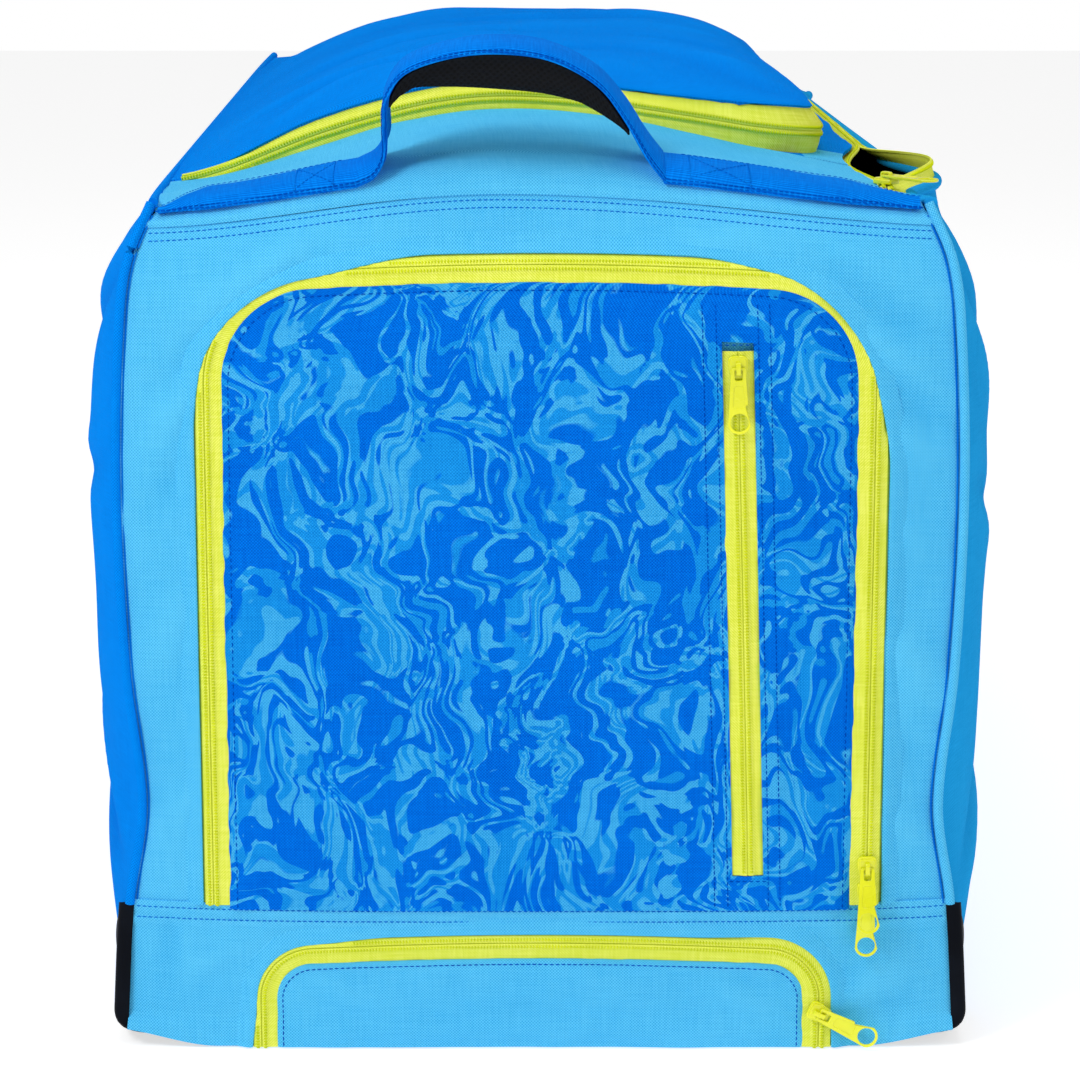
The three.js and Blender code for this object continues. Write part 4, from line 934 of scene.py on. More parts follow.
def side_relief(y, z, seed, way):
    """Slack of one side; "way" turns the drag lines end for end, so the two sides differ."""
    ends = seam_y(np.minimum(z, SIDE_TOP)) - np.abs(y)
    fade = ease(ends, 0, 30) * ease(z, BASE_TOP, BASE_TOP + 25)
    return (
        waves(y, z, 1.5, seed, 120.0) * fade + drag_lines(way * y, z, SIDE_DRAGS)
        + puckers(ends, z, 0.5, 10, seed + 2) + puckers(z - BASE_TOP, y, 0.8, 10, seed + 3)
        + puckers(SIDE_TOP - z, y, 0.8, 10, seed + 4)
    )


u, v = grid(84, 150)
height = mix(BASE_TOP, SIDE_TOP - SEAM_TUCK, v)
points = side_point(-1, side_station(u, height), height)
sheet_piece("left_side_cloth", points, (-1, 0, 0), [mid_cloth, lining], ["left_side"],
            relief=side_relief(points[..., 1], points[..., 2], 21, 1))


def side_tape_edge(y):
    return stack(side_edge_x(y), y, edge_z(y) + GAP)


STRAIGHT_SHARE = 0.8
u, v = grid(92, 150)
roll = np.clip((v - STRAIGHT_SHARE) / (1 - STRAIGHT_SHARE), 0, 1)[..., None]
height = mix(BASE_TOP, ROLL_FROM_Z, np.clip(v / STRAIGHT_SHARE, 0, 1))
y = (2 * u - 1) * (seam_y(mix(height, SIDE_TOP, roll[..., 0])) - SEAM_TUCK - 3 * roll[..., 0])
hip = stack(top_half(y) + 1 + MOUTH_FLARE * open_at(y), y, edge_z(y) - 3)
start = side_point(1, y, height)
points = mix(mix(start, hip, roll), mix(hip, side_tape_edge(y), roll), roll)
relief = side_relief(y, points[..., 2], 31, -1) * (1 - roll[..., 0])
# The right side wears the darker copy of the light blue canvas, as painted shade
sheet_piece("right_side_cloth", points, (1, 0, 0.3), [painted_shade_side_cloth, lining], ["right_side"],
            relief=relief)

# %% Back panel with its wheel wells
WHEEL = {"x": 185.0, "y": 455.0, "radius": 40.0}
HOUSING = {"width": 53.0, "wall": 3.0, "inner": 45.0}
well_low, well_high = (WHEEL["x"] + s * (HOUSING["width"] / 2 + GAP) for s in (-1, 1))
well_top = WHEEL["radius"] + HOUSING["inner"] + HOUSING["wall"] + GAP


def well_columns(z):
    """Stations across the back at one height, with some of them along the edges of the wells."""
    edge = seam_half(z) - SEAM_TUCK
    knots = [-edge, -well_high, -well_low, well_low, well_high, edge]
    return np.concatenate([np.linspace(a, b, n)[:-1] for a, b, n in zip(knots, knots[1:], (6, 14, 80, 14, 6))]
                          + [[edge]])


heights = np.concatenate([np.linspace(BASE_TOP - 1, well_top, 24)[:-1],
                          np.linspace(well_top, YOKE_SEAM_Z, 90)])
x = np.array([well_columns(h) for h in heights])
lift = ease(heights, well_top, YOKE_SEAM_Z)[:, None] * (yoke_seam_z(x) - YOKE_SEAM_Z)
z = heights[:, None] + lift
points = stack(x, panel_y(x, z), z)
cell_x, cell_z = (x[:-1, :-1] + x[1:, 1:]) / 2, (heights[:-1] + heights[1:])[:, None] / 2
keep = ~((np.abs(cell_x) > well_low) & (np.abs(cell_x) < well_high) & (cell_z < well_top))
BACK_DRAGS = [(-206, 430, -90, 350, 14, -3.6), (206, 424, 80, 340, 15, -3.8), (-204, 130, -80, 200, 14, -3.4),
              (204, 136, 90, 210, 14, -3.4), (-40, 450, 10, 330, 16, -3.2), (30, 120, -20, 240, 18, -3.4),
              (-150, 300, 60, 280, 22, -2.8)]
slack = waves(x, z, 1.4, 41) + puckers(seam_half(z) - np.abs(x), z, 0.6, 9, 43) + drag_lines(x, z, BACK_DRAGS)
relief = slack * ease(np.minimum(z - well_top, yoke_seam_z(x) - z), -2, 25)
sheet_piece("back_panel_cloth", points, BACK, [light_cloth, lining], ["back_panel"], keep=keep,
            relief=relief)

# %% [markdown]
# ## The lid pocket
# The lid is a domed pocket on the top. It grows out of the left seam and stands on a yellow gusset with a
# zip in its middle at the front, right and back. The dome is a rule: one curve across the bag, flattened
# towards both ends. The gusset follows the lid's plan, so it is a strip with a profile: a belly, and a
# ridge where the coil is.

# %% Lid cloth
# Its plan and corner radius, the height of its gusset, its highest place and its left edge
LID = {"front": -341.0, "back": 400.0, "right": 157.0, "corner": 45.0, "gusset": 18.0, "apex": 529.0,
       "apex_x": -20.0, "left_edge": 474.0}
LID_FOLD = {"share": 0.1, "low": -215.0, "high": -120.0}
LID_FALL = {"left": 2.2, "right": 4.0}
LID_CORNER = {"rise": 9.0, "x": (50.0, 157.0), "y": (-260.0, 200.0)}  # the front right corner stands up


def lid_rise(x):
    return LID["gusset"] * mix(LID_FOLD["share"], 1, ease(x, LID_FOLD["low"], LID_FOLD["high"]))


def lid_z(x, y):
    q = np.clip((x - LID["apex_x"]) / (LID["right"] - LID["apex_x"]), -1, 1)
    base = mix(LID["left_edge"], top_z(LID["right"], 0.0) + LID["gusset"], (q + 1) / 2)
    fall = np.where(q < 0, LID_FALL["left"], LID_FALL["right"])
    dome = base + (LID["apex"] - base) * (1 - np.abs(q) ** fall)
    along = (y - (LID["front"] + LID["back"]) / 2) / ((LID["back"] - LID["front"]) / 2)
    fullness = 1 - np.minimum(np.abs(along), 1) ** 5
    extra = np.maximum(0, dome - top_z(x, 0.0) - lid_rise(x))
    corner = LID_CORNER["rise"] * ease(x, *LID_CORNER["x"]) * (1 - ease(y, *LID_CORNER["y"]))
    return top_z(x, y) + lid_rise(x) + extra * fullness + corner


def lid_right(y):
    corner = LID["corner"]
    into = np.maximum(np.maximum(LID["front"] + corner - y, y - (LID["back"] - corner)), 0)
    return LID["right"] - corner + np.sqrt(np.maximum(corner ** 2 - into ** 2, 0))


turn = LID["corner"] * (1 - np.cos(np.radians(np.linspace(0, 90, 18))))
rows = np.concatenate([
    LID["front"] + turn[:-1], np.linspace(LID["front"] + LID["corner"], LID["back"] - LID["corner"], 100),
    LID["back"] - turn[-2::-1],
])
across = np.concatenate([np.linspace(0, 0.97, 66)[:-1], np.linspace(0.97, 1, 8)])
y = rows[:, None] + 0 * across
x = mix(SEAM_TUCK + 1 - top_half(y), lid_right(y), across[None, :])
points = stack(x, y, lid_z(x, y))
edge = np.minimum(np.minimum(y - LID["front"], LID["back"] - y), lid_right(y) - x)
LID_DRAGS = [(-160, -320, -60, -180, 14, 1.6), (150, -300, 60, -120, 16, 1.8), (-60, -60, 90, 60, 26, 1.8),
             (140, 120, 40, 260, 18, 1.8), (-150, 150, -40, 330, 20, 1.6), (-180, -230, 90, -196, 16, -2.8),
             (-160, -90, 50, -20, 22, -3.2), (-70, 110, 130, 190, 20, -3.0), (-160, 250, 20, 330, 18, -2.8),
             (146, -150, 60, -60, 14, -2.4), (146, 20, 70, 90, 14, -2.4)]
LID_TUCK = {"deep": 2.2, "over": 12.0, "taut": 30.0}


def from_left(x, y):
    return x + top_half(y) - SEAM_TUCK - 1


def tucked(x, y):
    """How far the lid's left edge is drawn down into the seam."""
    return LID_TUCK["deep"] * (1 - ease(from_left(x, y), 0, LID_TUCK["over"]))


slack = waves(x, y, 1.5, 51, 85.0) + drag_lines(x, y, LID_DRAGS)
relief = (slack * ease(edge, 0, 25) * ease(from_left(x, y), 0, LID_TUCK["taut"])
          + puckers(edge, x + y, 0.15, 8, 53) - 1.2 * np.exp(-edge / 1.5) - tucked(x, y))
sheet_piece("lid_cloth", points, UP, [mid_cloth, lining], ["lid_pocket"], relief=relief)

# %% Lid gusset with its zip
ZIP_RIDGE = [  # distance from the middle of the zip, rise over the tape
    (-4.2, 0.0), (-3.3, 0.45), (-2.3, 0.85), (-1.0, 0.95), (-0.4, 0.8), (-0.18, 0.0), (0.18, 0.0), (0.4, 0.8),
    (1.0, 0.95), (2.3, 0.85), (3.3, 0.45), (4.2, 0.0),
]
TEETH = {"pitch": 1.7, "size": (0.95, 2.3, 1.0), "off": 2.1}
# Where it starts and ends at the left; its belly, fuller towards the right, and its splay; its foot and head
# against the cloth; and how it goes under the lid's tuck and closes up at the back left
GUSSET = {"front_x": -202.0, "back_x": -188.0, "belly": 2.2, "splay": 3.5, "foot": -1.2, "head": 2.6,
          "fuller": 1.2, "under": 1.6, "least": 0.5, "slim": (2.0, 14.0)}


def gusset_plan(inset=1.8):
    """Plan of the gusset from the front left round the right to the back left, with outward directions."""
    r, mid_x = LID["corner"] - inset, LID["right"] - LID["corner"]
    a = np.linspace(0, math.pi / 2, 24)[1:-1]
    low, high = LID["front"] + LID["corner"], LID["back"] - LID["corner"]
    ahead, behind = (np.linspace(GUSSET[k], mid_x, 110) for k in ("front_x", "back_x"))
    right = np.linspace(low, high, 200)
    x = np.concatenate([ahead, mid_x + r * np.sin(a), 0 * right + LID["right"] - inset, mid_x + r * np.cos(a),
                        behind[::-1]])
    y = np.concatenate([0 * ahead + LID["front"] + inset, low - r * np.cos(a), right, high + r * np.sin(a),
                        0 * ahead + LID["back"] - inset])
    out = np.concatenate([stack(0 * ahead, 0 * ahead - 1), stack(np.sin(a), -np.cos(a)),
                          stack(0 * right + 1, 0 * right), stack(np.cos(a), np.sin(a)),
                          stack(0 * ahead, 0 * ahead + 1)])
    return x, y, out


def gusset_points(share, lift, offset=0.0):
    """Points on the gusset: "share" is the way up it, "offset" millimetres more, and "lift" outwards."""
    x, y, out = gusset_plan()
    high = lid_z(x, y) - GUSSET["head"] - GUSSET["under"] * tucked(x, y) * (y > 0)
    low = np.minimum(top_z(x, y) + GUSSET["foot"], high - GUSSET["least"])
    full = np.where(y > 0, ease(high - low, *GUSSET["slim"]), 1.0)  # it closes up at the back left
    belly = GUSSET["belly"] * (1 + GUSSET["fuller"] * ease(x, 90, 157))
    stand = (belly * np.sin(math.pi * share) + GUSSET["splay"] * (1 - share) ** 1.5 + lift) * full
    return stack(x + out[:, 0] * stand, y + out[:, 1] * stand, mix(low, high, share) + offset)


strip = [(s, 0.0, 0.0) for s in (0.0, 0.1, 0.2)] + [(0.5, rise, at) for at, rise in ZIP_RIDGE] + [
    (s, 0.0, 0.0) for s in (0.8, 0.9, 1.0)]
points = np.stack([gusset_points(*column) for column in strip], axis=1)
sheet_piece("lid_gusset_tape", points, (0.2, -0.5, 0), [tape_yellow], ["lid_gusset"], thick=TAPE,
            uv=strip_uv(points))
_, _, out = gusset_plan()
outs = np.column_stack([out, np.zeros(len(out))])
along_runs("lid_zip_teeth", [run_on(gusset_points(0.5, 0.95, s * TEETH["off"]), outs) for s in (-1, 1)],
           TEETH["pitch"], TEETH["size"], coil_yellow)

# %% [markdown]
# ## The main zip
# The main zip runs along the right of the top. It is shut at the far end and gapes near the handle, where
# the black lining shows. Each tape is a strip between the cloth's edge and its row of teeth, so two
# functions of y give both tapes, open or shut. The side's edge is rolled over a cord, as the photograph
# shows.

# %% Tapes and teeth of the main zip
def side_teeth(y):
    x = top_half(y) - TEETH_INSET + GAP / 2
    lip = stack(top_half(y) - 1 + MOUTH_FLARE, y, edge_z(y) + MOUTH_LIP_RISE)
    return mix(stack(x, y, top_z(x, y)), lip, open_at(y)[..., None])


def top_teeth(y):
    x = top_tape_edge(y) + TAPE_WIDTH - GAP / 2
    return stack(x, y, top_z(x, y) - MOUTH_TOP_DROP * open_at(y))


def top_edge(y):
    x = top_tape_edge(y) - 1.5
    return stack(x, y, top_z(x, y) + 0.6)


zip_y = np.linspace(-ZIP_END_Y, ZIP_END_Y, 240)
MAIN_TAPES = [  # piece, solid, the edge of the cloth, the row of teeth
    ("main_tape_side", "mouth_tape_side", side_tape_edge(zip_y), side_teeth(zip_y)),
    ("main_tape_top", "mouth_tape_top", top_edge(zip_y), top_teeth(zip_y)),
]
for name, node, start, stop in MAIN_TAPES:
    share = np.array([0.0, 0.3, 0.55, 0.7, 0.78, 0.86, 0.93, 0.97, 1.0])
    points = mix(start[:, None], stop[:, None], share[None, :, None])
    ridge = 0.9 * ease(share, 0.6, 0.85) * (1 - ease(share, 0.96, 1.0)) + 0.2
    under = 3.8 * (1 - ease(share, 0.6, 0.9)) * (name == "main_tape_top")  # the top's cloth laps over it
    relief = ridge - under + 0.5 * soft_noise(points[..., 1], share * 40, 30.0, 61)
    sheet_piece(name, points, UP, [tape_yellow], [node], thick=TAPE, relief=relief)
    towards = unit(stop - start)
    level = unit(np.cross(np.gradient(stop, axis=0), towards))
    level *= np.sign(level[:, 2:3])
    along_runs(name + "_teeth", [run_on(stop - towards * TEETH["off"], level, 1.15)], TEETH["pitch"],
               TEETH["size"], coil_yellow)


# %% Round cords: piping along the seams, thin dark cords of painted shadow beside them, and the rolled edge of the side
def tube(name, path, radius, materials, nodes=(), sides=14):
    """A closed round cord along a path."""
    ahead = unit(np.gradient(path, axis=0))
    across = unit(np.cross(ahead, np.where(np.abs(ahead[:, 2:3]) < 0.9, [0.0, 0.0, 1.0], [1.0, 0.0, 0.0])))
    over = np.cross(ahead, across)
    turns = np.linspace(0, 2 * math.pi, sides, endpoint=False)
    rings = path[:, None] + radius * (across[:, None] * np.cos(turns)[None, :, None]
                                      + over[:, None] * np.sin(turns)[None, :, None])
    count = len(path)
    index = np.arange(count * sides).reshape(count, sides)
    follow = np.roll(index, -1, axis=1)
    quads = np.stack([index[:-1], index[1:], follow[1:], follow[:-1]], axis=-1).reshape(-1, 4)
    run = np.concatenate([[0], np.cumsum(np.linalg.norm(np.diff(path, axis=0), axis=1))])
    uv = stack(np.broadcast_to(turns * radius, (count, sides)), run[:, None]).reshape(-1, 2) * MM
    faces = [*quads, index[0], index[-1][::-1]]
    piece = new_piece(name, to_row(rings.reshape(-1, 3)), faces, materials, uv)
    tidy = bmesh.new()
    tidy.from_mesh(piece.data)
    bmesh.ops.recalc_face_normals(tidy, faces=tidy.faces)
    tidy.to_mesh(piece.data)
    tidy.free()
    print(name, len(faces), "faces")
    return settle(piece, nodes)


PIPE_R, ROLL_R = 2.7, 3.4
PIPE_OUT, PIPE_AHEAD = 0.9, 1.3  # how far the middle of a cord stands off its seam, sideways and endways
SHADOW_LINE_R, SHADOW_LINE_IN = 0.55, 2.9  # the thin dark cord of painted shadow beside the piping's seam, and how far it lies from the seam
BACK_CORD_SHORT = 8.0  # the far cords end under the top's turned corner
CORD_SIDES = [("left", -1, mid_cloth, "mid_cloth"), ("right", 1, light_cloth, "light_cloth")]
for word, sign, cloth, slot in CORD_SIDES:
    for place, end in (("front", -1), ("back", 1)):
        cord_z = np.linspace(LOWER_SEAM_Z - 1, SIDE_TOP - BACK_CORD_SHORT * (end > 0), 120)
        wobble = 0.5 * soft_noise(cord_z, 0 * cord_z, 40.0, 71 + end)
        path = stack(sign * (seam_half(cord_z) + PIPE_OUT), end * (seam_y(cord_z) + PIPE_AHEAD + wobble),
                     cord_z)
        tube(f"piping_{place}_{word}_cord", path, PIPE_R, [cloth], [f"piping_{place}_{word}"])
        # A thin dark cord in blue thread beside each piping: painted shadow where the panel meets the piping
        x, z = sign * (seam_half(cord_z[:-2]) - SHADOW_LINE_IN), cord_z[:-2]
        seam_line = stack(x, end * (panel_y(x, z) + SHADOW_LINE_R), z)
        tube(f"piping_{place}_{word}_edge", seam_line, SHADOW_LINE_R, [blue_thread], sides=8)
cord_y = np.linspace(-1, 1, 200) * (seam_y(SIDE_TOP) - 1)
tube("piping_top_left_cord", stack(-top_half(cord_y), cord_y, edge_z(cord_y)), PIPE_R, [mid_cloth],
     ["piping_top_left"])
# The rolled edge wears the same darker copy of the light blue canvas, as painted shade
tube("side_rolled_edge", side_tape_edge(cord_y) + [0.5, 0, -0.6], ROLL_R, [painted_shade_side_cloth])

# %% [markdown]
# ## The front pocket and the low arch pocket
# Both pockets are inverted U shapes that stand out in a soft pillow, with a zip round their edge. The
# printed one also has an upright zip in a slot. Cutting the slot with a Boolean would leave long thin
# faces round it, so the columns of the grid bend to run along the slot's edges, and the cells inside it
# are left out.

# %% Faces of the two pockets
UPRIGHT = {"top_x": 105.0, "top_z": 395.0, "foot_x": 114.0, "foot_z": 103.0, "slot": 17.0, "drop": 9.0}


def upright_x(z):
    return mix(UPRIGHT["foot_x"], UPRIGHT["top_x"],
               (z - UPRIGHT["foot_z"]) / (UPRIGHT["top_z"] - UPRIGHT["foot_z"]))


def pillow(shape, x, z):
    middle = (shape["foot"] + shape["top"]) / 2
    upright = 1 - np.minimum(np.abs((z - middle) / (shape["top"] - middle)), 1) ** 4
    return shape["pillow"] * (1 - np.minimum(np.abs(x / shape["half"]), 1) ** 4) * upright


def arch_reach(shape, z):
    over = np.maximum(z - (shape["top"] - shape["radius"]), 0)
    return shape["half"] - shape["radius"] + np.sqrt(np.maximum(shape["radius"] ** 2 - over ** 2, 0))


def arch_lift(shape, x, z):
    return z + shape["crown"] * (1 - (x / shape["half"]) ** 2) * ease(z, shape["foot"], shape["top"])


def arch_heights(shape, legs, turn):
    low = shape["top"] - shape["radius"]
    corner = low + shape["radius"] * np.sin(np.radians(np.linspace(0, 89.5, turn)))
    return np.concatenate([np.linspace(shape["foot"] - 2, low, legs)[:-1], corner])


STITCH_IN = 4.4  # the pocket's edge stitching, in from its edge
POCKET_DRAGS = [(-150, 380, -96, 330, 10, 1.0), (146, 372, 128, 300, 7, 0.9), (-140, 120, -90, 170, 12, 1.0),
                (60, 110, 20, 160, 13, 0.9), (140, 130, 134, 240, 6, -0.8), (-40, 400, 30, 360, 14, 0.8)]


def pocket_relief(x, z):
    inside = inside_arch(POCKET, x, z)
    slot = np.abs(x - upright_x(z)) - UPRIGHT["slot"] / 2
    groove = -0.55 * np.exp(-(((inside - STITCH_IN) / 1.1) ** 2)) - 1.2 * np.exp(-np.maximum(inside, 0) / 0.9)
    slack = waves(x, z, 0.8, 81, 70.0) * ease(inside, 2, 25) + drag_lines(x, z, POCKET_DRAGS)
    return groove + slack + puckers(inside, x + z, 0.45, 7, 83, 8.0) + puckers(slot, z, 0.5, 8, 84, 10.0)


rows = arch_heights(POCKET, 100, 26)
slot_rows = (UPRIGHT["foot_z"], UPRIGHT["top_z"])
rows = np.sort(np.concatenate([rows, slot_rows]))
half = UPRIGHT["slot"] / 2
LEFT_COLS, SLOT_COLS, RIGHT_COLS = 96, 8, 22
columns = []
for h in rows:
    reach, middle = float(arch_reach(POCKET, h)), float(np.clip(upright_x(h), 104, 115))
    knots = [-reach, min(middle - half, 0.9 * reach), min(middle + half, 0.96 * reach), reach]
    columns.append(np.concatenate([np.linspace(a, b, n)[:-1] for a, b, n in zip(
        knots, knots[1:], (LEFT_COLS, SLOT_COLS, RIGHT_COLS))] + [[reach]]))
x = np.array(columns)
z = arch_lift(POCKET, x, rows[:, None])
points = stack(x, -(panel_y(x, z) + GAP + CLOTH + pillow(POCKET, x, rows[:, None])), z)
cell = (rows[:-1] + rows[1:]) / 2
in_slot = np.zeros((len(rows) - 1, x.shape[1] - 1), bool)
in_slot[:, LEFT_COLS - 1:LEFT_COLS + SLOT_COLS - 2] = True
keep = ~(in_slot & ((cell > slot_rows[0]) & (cell < slot_rows[1]))[:, None])
sheet_piece("pocket_print_cloth", points, FRONT, [marbled_cloth, lining], ["front_pocket"],
            keep=keep, relief=pocket_relief(x, z))

# %% Flap of the low arch pocket
ARCH_DRAGS = [(-120, 40, -80, 24, 8, 1.2), (96, 38, 130, 22, 7, 1.3), (20, 44, 60, 30, 9, 1.0),
              (-30, 26, 40, 18, 8, -0.9), (110, 46, 124, 30, 5, -1.0)]


def arch_relief(x, z):
    inside = inside_arch(ARCH, x, z)
    slack = waves(x, z, 0.8, 91, 42.0) * ease(inside, 1, 12) + drag_lines(x, z, ARCH_DRAGS)
    return slack - 1.1 * np.exp(-np.maximum(inside, 0) / 0.9) + puckers(inside, x + z, 0.5, 6, 93, 8.0)


rows = arch_heights(ARCH, 24, 20)
share = np.linspace(-1, 1, 150)[None, :]
x = share * arch_reach(ARCH, rows)[:, None]
z = arch_lift(ARCH, x, rows[:, None])
z = z - (rows[0] - HEM["low"]) * (1 - ease(z, rows[0], rows[0] + HEM["flap"]))  # down to the hem
points = stack(x, -(panel_y(x, z) + apron(x, z) + GAP + CLOTH + pillow(ARCH, x, rows[:, None])), z)
sheet_piece("arch_flap_cloth", points, FRONT, [light_cloth, lining], ["arch_flap"],
            relief=arch_relief(x, z))

# %% [markdown]
# The zip round a pocket is a tape with a raised coil and a dark parting line in its middle. The end panel
# is folded back along the tape's outer edge, and at the corners it covers most of the tape, so the yellow
# narrows there. The strip's outer columns dive under the fold where that happens, and the teeth stop.

# %% Zips round the pockets
POCKET_TAPE = [  # out from the pocket's edge, rise over the panel
    (-3.0, 0.8), (-0.5, 1.5), (1.5, 1.75), (4.4, 1.8), (5.3, 2.2), (6.3, 2.6), (7.6, 2.7), (8.3, 2.55),
    (8.58, 1.5), (8.92, 1.5), (9.2, 2.55), (9.9, 2.7), (11.2, 2.6), (12.2, 2.2), (13.1, 1.8), (15.5, 1.6),
    (18.5, 1.2),
]
COIL_OUT, COIL_CLEAR = 8.75, 1.7
ZIP_CLOTH = 0.8  # thickness of the tapes and of the folds over them
FOLD = [  # out from where the tape goes under, rise over the panel
    (0.9, 0.4), (0.1, 1.2), (-0.25, 2.2), (0.3, 2.9), (1.6, 3.0), (3.5, 2.4), (6.0, 1.3), (8.5, 0.4),
    (10.5, -0.6),
]


def arch_path(shape, legs, turn, head):
    """Points round an inverted U from the left foot to the right, their outward directions, and run."""
    half, top, radius = shape["half"], shape["top"], shape["radius"]
    a = np.linspace(0, math.pi / 2, turn)[1:-1]
    leg = np.linspace(shape["foot"], top - radius, legs)
    level = np.linspace(radius - half, half - radius, head)
    x = np.concatenate([0 * leg - half, -half + radius * (1 - np.cos(a)), level])
    z = np.concatenate([leg, top - radius * (1 - np.sin(a)), 0 * level + top])
    out = np.concatenate([stack(0 * leg - 1, 0 * leg), stack(-np.cos(a), np.sin(a)),
                          stack(0 * level, 0 * level + 1)])
    turned = slice(legs + turn - 3, None, -1)
    x, z = np.concatenate([x, -x[turned]]), np.concatenate([z, z[turned]])
    out = np.concatenate([out, out[turned] * [-1, 1]])
    run = np.concatenate([[0], np.cumsum(np.hypot(np.diff(x), np.diff(z)))])
    return x, arch_lift(shape, x, z), out, run


def tape_shows(shape, run, left, right, top, corner, reach, shift):
    """How much of the tape's width shows along the run: less round the corners, where the fold covers it."""
    leg = shape["top"] - shape["radius"] - shape["foot"]
    bend = shape["radius"] * math.pi / 2
    first, second = leg + bend / 2 + shift, run[-1] - leg - bend / 2
    near = np.minimum(np.abs(run - first), np.abs(run - second))
    full = np.where(run < first, left, np.where(run > second, right, top))
    return mix(np.where(run < run[-1] / 2, *corner), full, ease(near, *reach))


def pocket_zip(name, node, shape, counts, shows):
    x, z, out, run = arch_path(shape, *counts)
    visible = tape_shows(shape, run, *shows)

    def laid(distance, rise):
        px, pz = x + out[:, 0] * distance, z + out[:, 1] * distance
        return stack(px, -(panel_y(px, pz) + apron(px, pz) + rise), pz)

    columns = []
    for distance, rise in POCKET_TAPE:
        past = np.maximum(distance - visible, 0)
        columns.append(laid(np.minimum(distance, visible + 0.15 * past), rise - 3.0 * (1 - np.exp(-past))))
    tape = np.stack(columns, axis=1)
    sheet_piece(name + "_tape", tape, FRONT, [tape_yellow], [node], thick=ZIP_CLOTH,
                uv=strip_uv(tape))
    fold = np.stack([laid(visible + distance, rise) for distance, rise in FOLD], axis=1)
    sheet_piece(name + "_fold", fold, FRONT, [light_cloth], thick=ZIP_CLOTH,
                uv=fold[..., [0, 2]] * MM)
    runs = []
    for side in (-1, 1):
        at = COIL_OUT + side * TEETH["off"]
        shown = visible > at + COIL_CLEAR
        parts = np.split(np.arange(len(x)), np.flatnonzero(np.diff(shown.astype(int))) + 1)
        runs += [run_on(laid(at, 2.7)[part], FRONT, 0.1) for part in parts
                 if shown[part[0]] and len(part) > 3]
    along_runs(name + "_teeth", runs, TEETH["pitch"], TEETH["size"], coil_yellow)


# How much shows on the left leg, the right leg, the head and the two corners; from where to where it widens
# beside a corner; and how far the first corner's narrow place is moved along
POCKET_SHOWS = (14.6, 17.2, 14.8, (4.2, 3.8), (2.0, 84.0), 20.0)
ARCH_SHOWS = (15.0, 16.5, 13.8, (11.0, 15.6), (12.0, 60.0), 0.0)
pocket_zip("pocket_zip", "pocket_zip", POCKET, (120, 50, 120), POCKET_SHOWS)
pocket_zip("arch_zip", "arch_zip", dict(ARCH, foot=HEM["low"]), (30, 40, 130), ARCH_SHOWS)

# %% Upright zip in its slot
upright_z = np.linspace(UPRIGHT["foot_z"] + 0.4, UPRIGHT["top_z"] - 0.4, 130)
offsets = [-10.5, -8.0, -5.0, *(at for at, _ in ZIP_RIDGE), 5.0, 8.0, 10.5]
rises = [-0.9, 0.1, 0.25, *(0.3 + rise for _, rise in ZIP_RIDGE), 0.25, 0.1, -0.9]


def upright_at(offset, rise):
    x = upright_x(upright_z) + offset
    return stack(x, -(panel_y(x, upright_z) + GAP + TAPE + pillow(POCKET, x, upright_z) + rise), upright_z)


points = np.stack([upright_at(o, r) for o, r in zip(offsets, rises)], axis=1)
sheet_piece("upright_zip_tape", points, FRONT, [tape_yellow], ["upright_zip"], thick=ZIP_CLOTH)
coil_runs = [run_on(upright_at(s * TEETH["off"], 1.25)[1:-1], FRONT, 0.1) for s in (-1, 1)]
along_runs("upright_zip_teeth", coil_runs, TEETH["pitch"], TEETH["size"], coil_yellow)

# %% [markdown]
# ## The haul handle
# The handle is one length of webbing. It is sewn down along the yoke's shoulder at both sides, and between
# them it stands up in an arch with a padded mesh grip underneath. The strip is laid on the same function
# as the yoke and lifted by a table, so it sits on the cloth at its ends.

# %% Path of the webbing
# Ends in x, edges as shares of the yoke, and the lean, the folded feet and the flatness of the arch
STRAP = {"thick": 2.4, "wide": 50.0, "clear": 0.6, "left": -204.0, "right": 203.0, "front": 0.15, "back": 0.6,
         "lean": 0.12, "fold": 6.0, "level": 0.5}
STRAP_ROWS = [(-98, 0), (-87, 4), (-81, 14), (-81, 28), (-80, 41), (-71, 53), (-50, 59), (-24, 61), (4, 58),
              (28, 47), (43, 31), (55, 13), (66, 0)]  # x, lift of the arch over the yoke


def spaced(points, count):
    """The same polyline with its points at even distances."""
    run = np.concatenate([[0], np.cumsum(np.linalg.norm(np.diff(points, axis=0), axis=1))])
    even = np.linspace(0, run[-1], count)
    return stack(*(np.interp(even, run, points[:, k]) for k in range(points.shape[1])))


def smooth_through(points, each=12):
    """A Catmull-Rom curve through points."""
    p = np.concatenate([[2 * points[0] - points[1]], points, [2 * points[-1] - points[-2]]])
    t = np.linspace(0, 1, each, endpoint=False)[:, None]
    parts = [
        0.5 * (2 * b + (c - a) * t + (2 * a - 5 * b + 4 * c - d) * t ** 2 + (3 * b - a - 3 * c + d) * t ** 3)
        for a, b, c, d in zip(p, p[1:], p[2:], p[3:])
    ]
    return np.concatenate([*parts, points[-1:]])


arch = spaced(smooth_through(np.array(STRAP_ROWS, float)), 90)
arch[:, 1] = np.maximum(arch[:, 1], 0)
flat_left = stack(np.linspace(STRAP["left"], arch[0, 0] - STRAP["fold"], 50), 0.0)
flat_right = stack(np.linspace(arch[-1, 0] + STRAP["fold"], STRAP["right"], 50), 0.0)
strap_path = np.concatenate([flat_left, arch, flat_right])


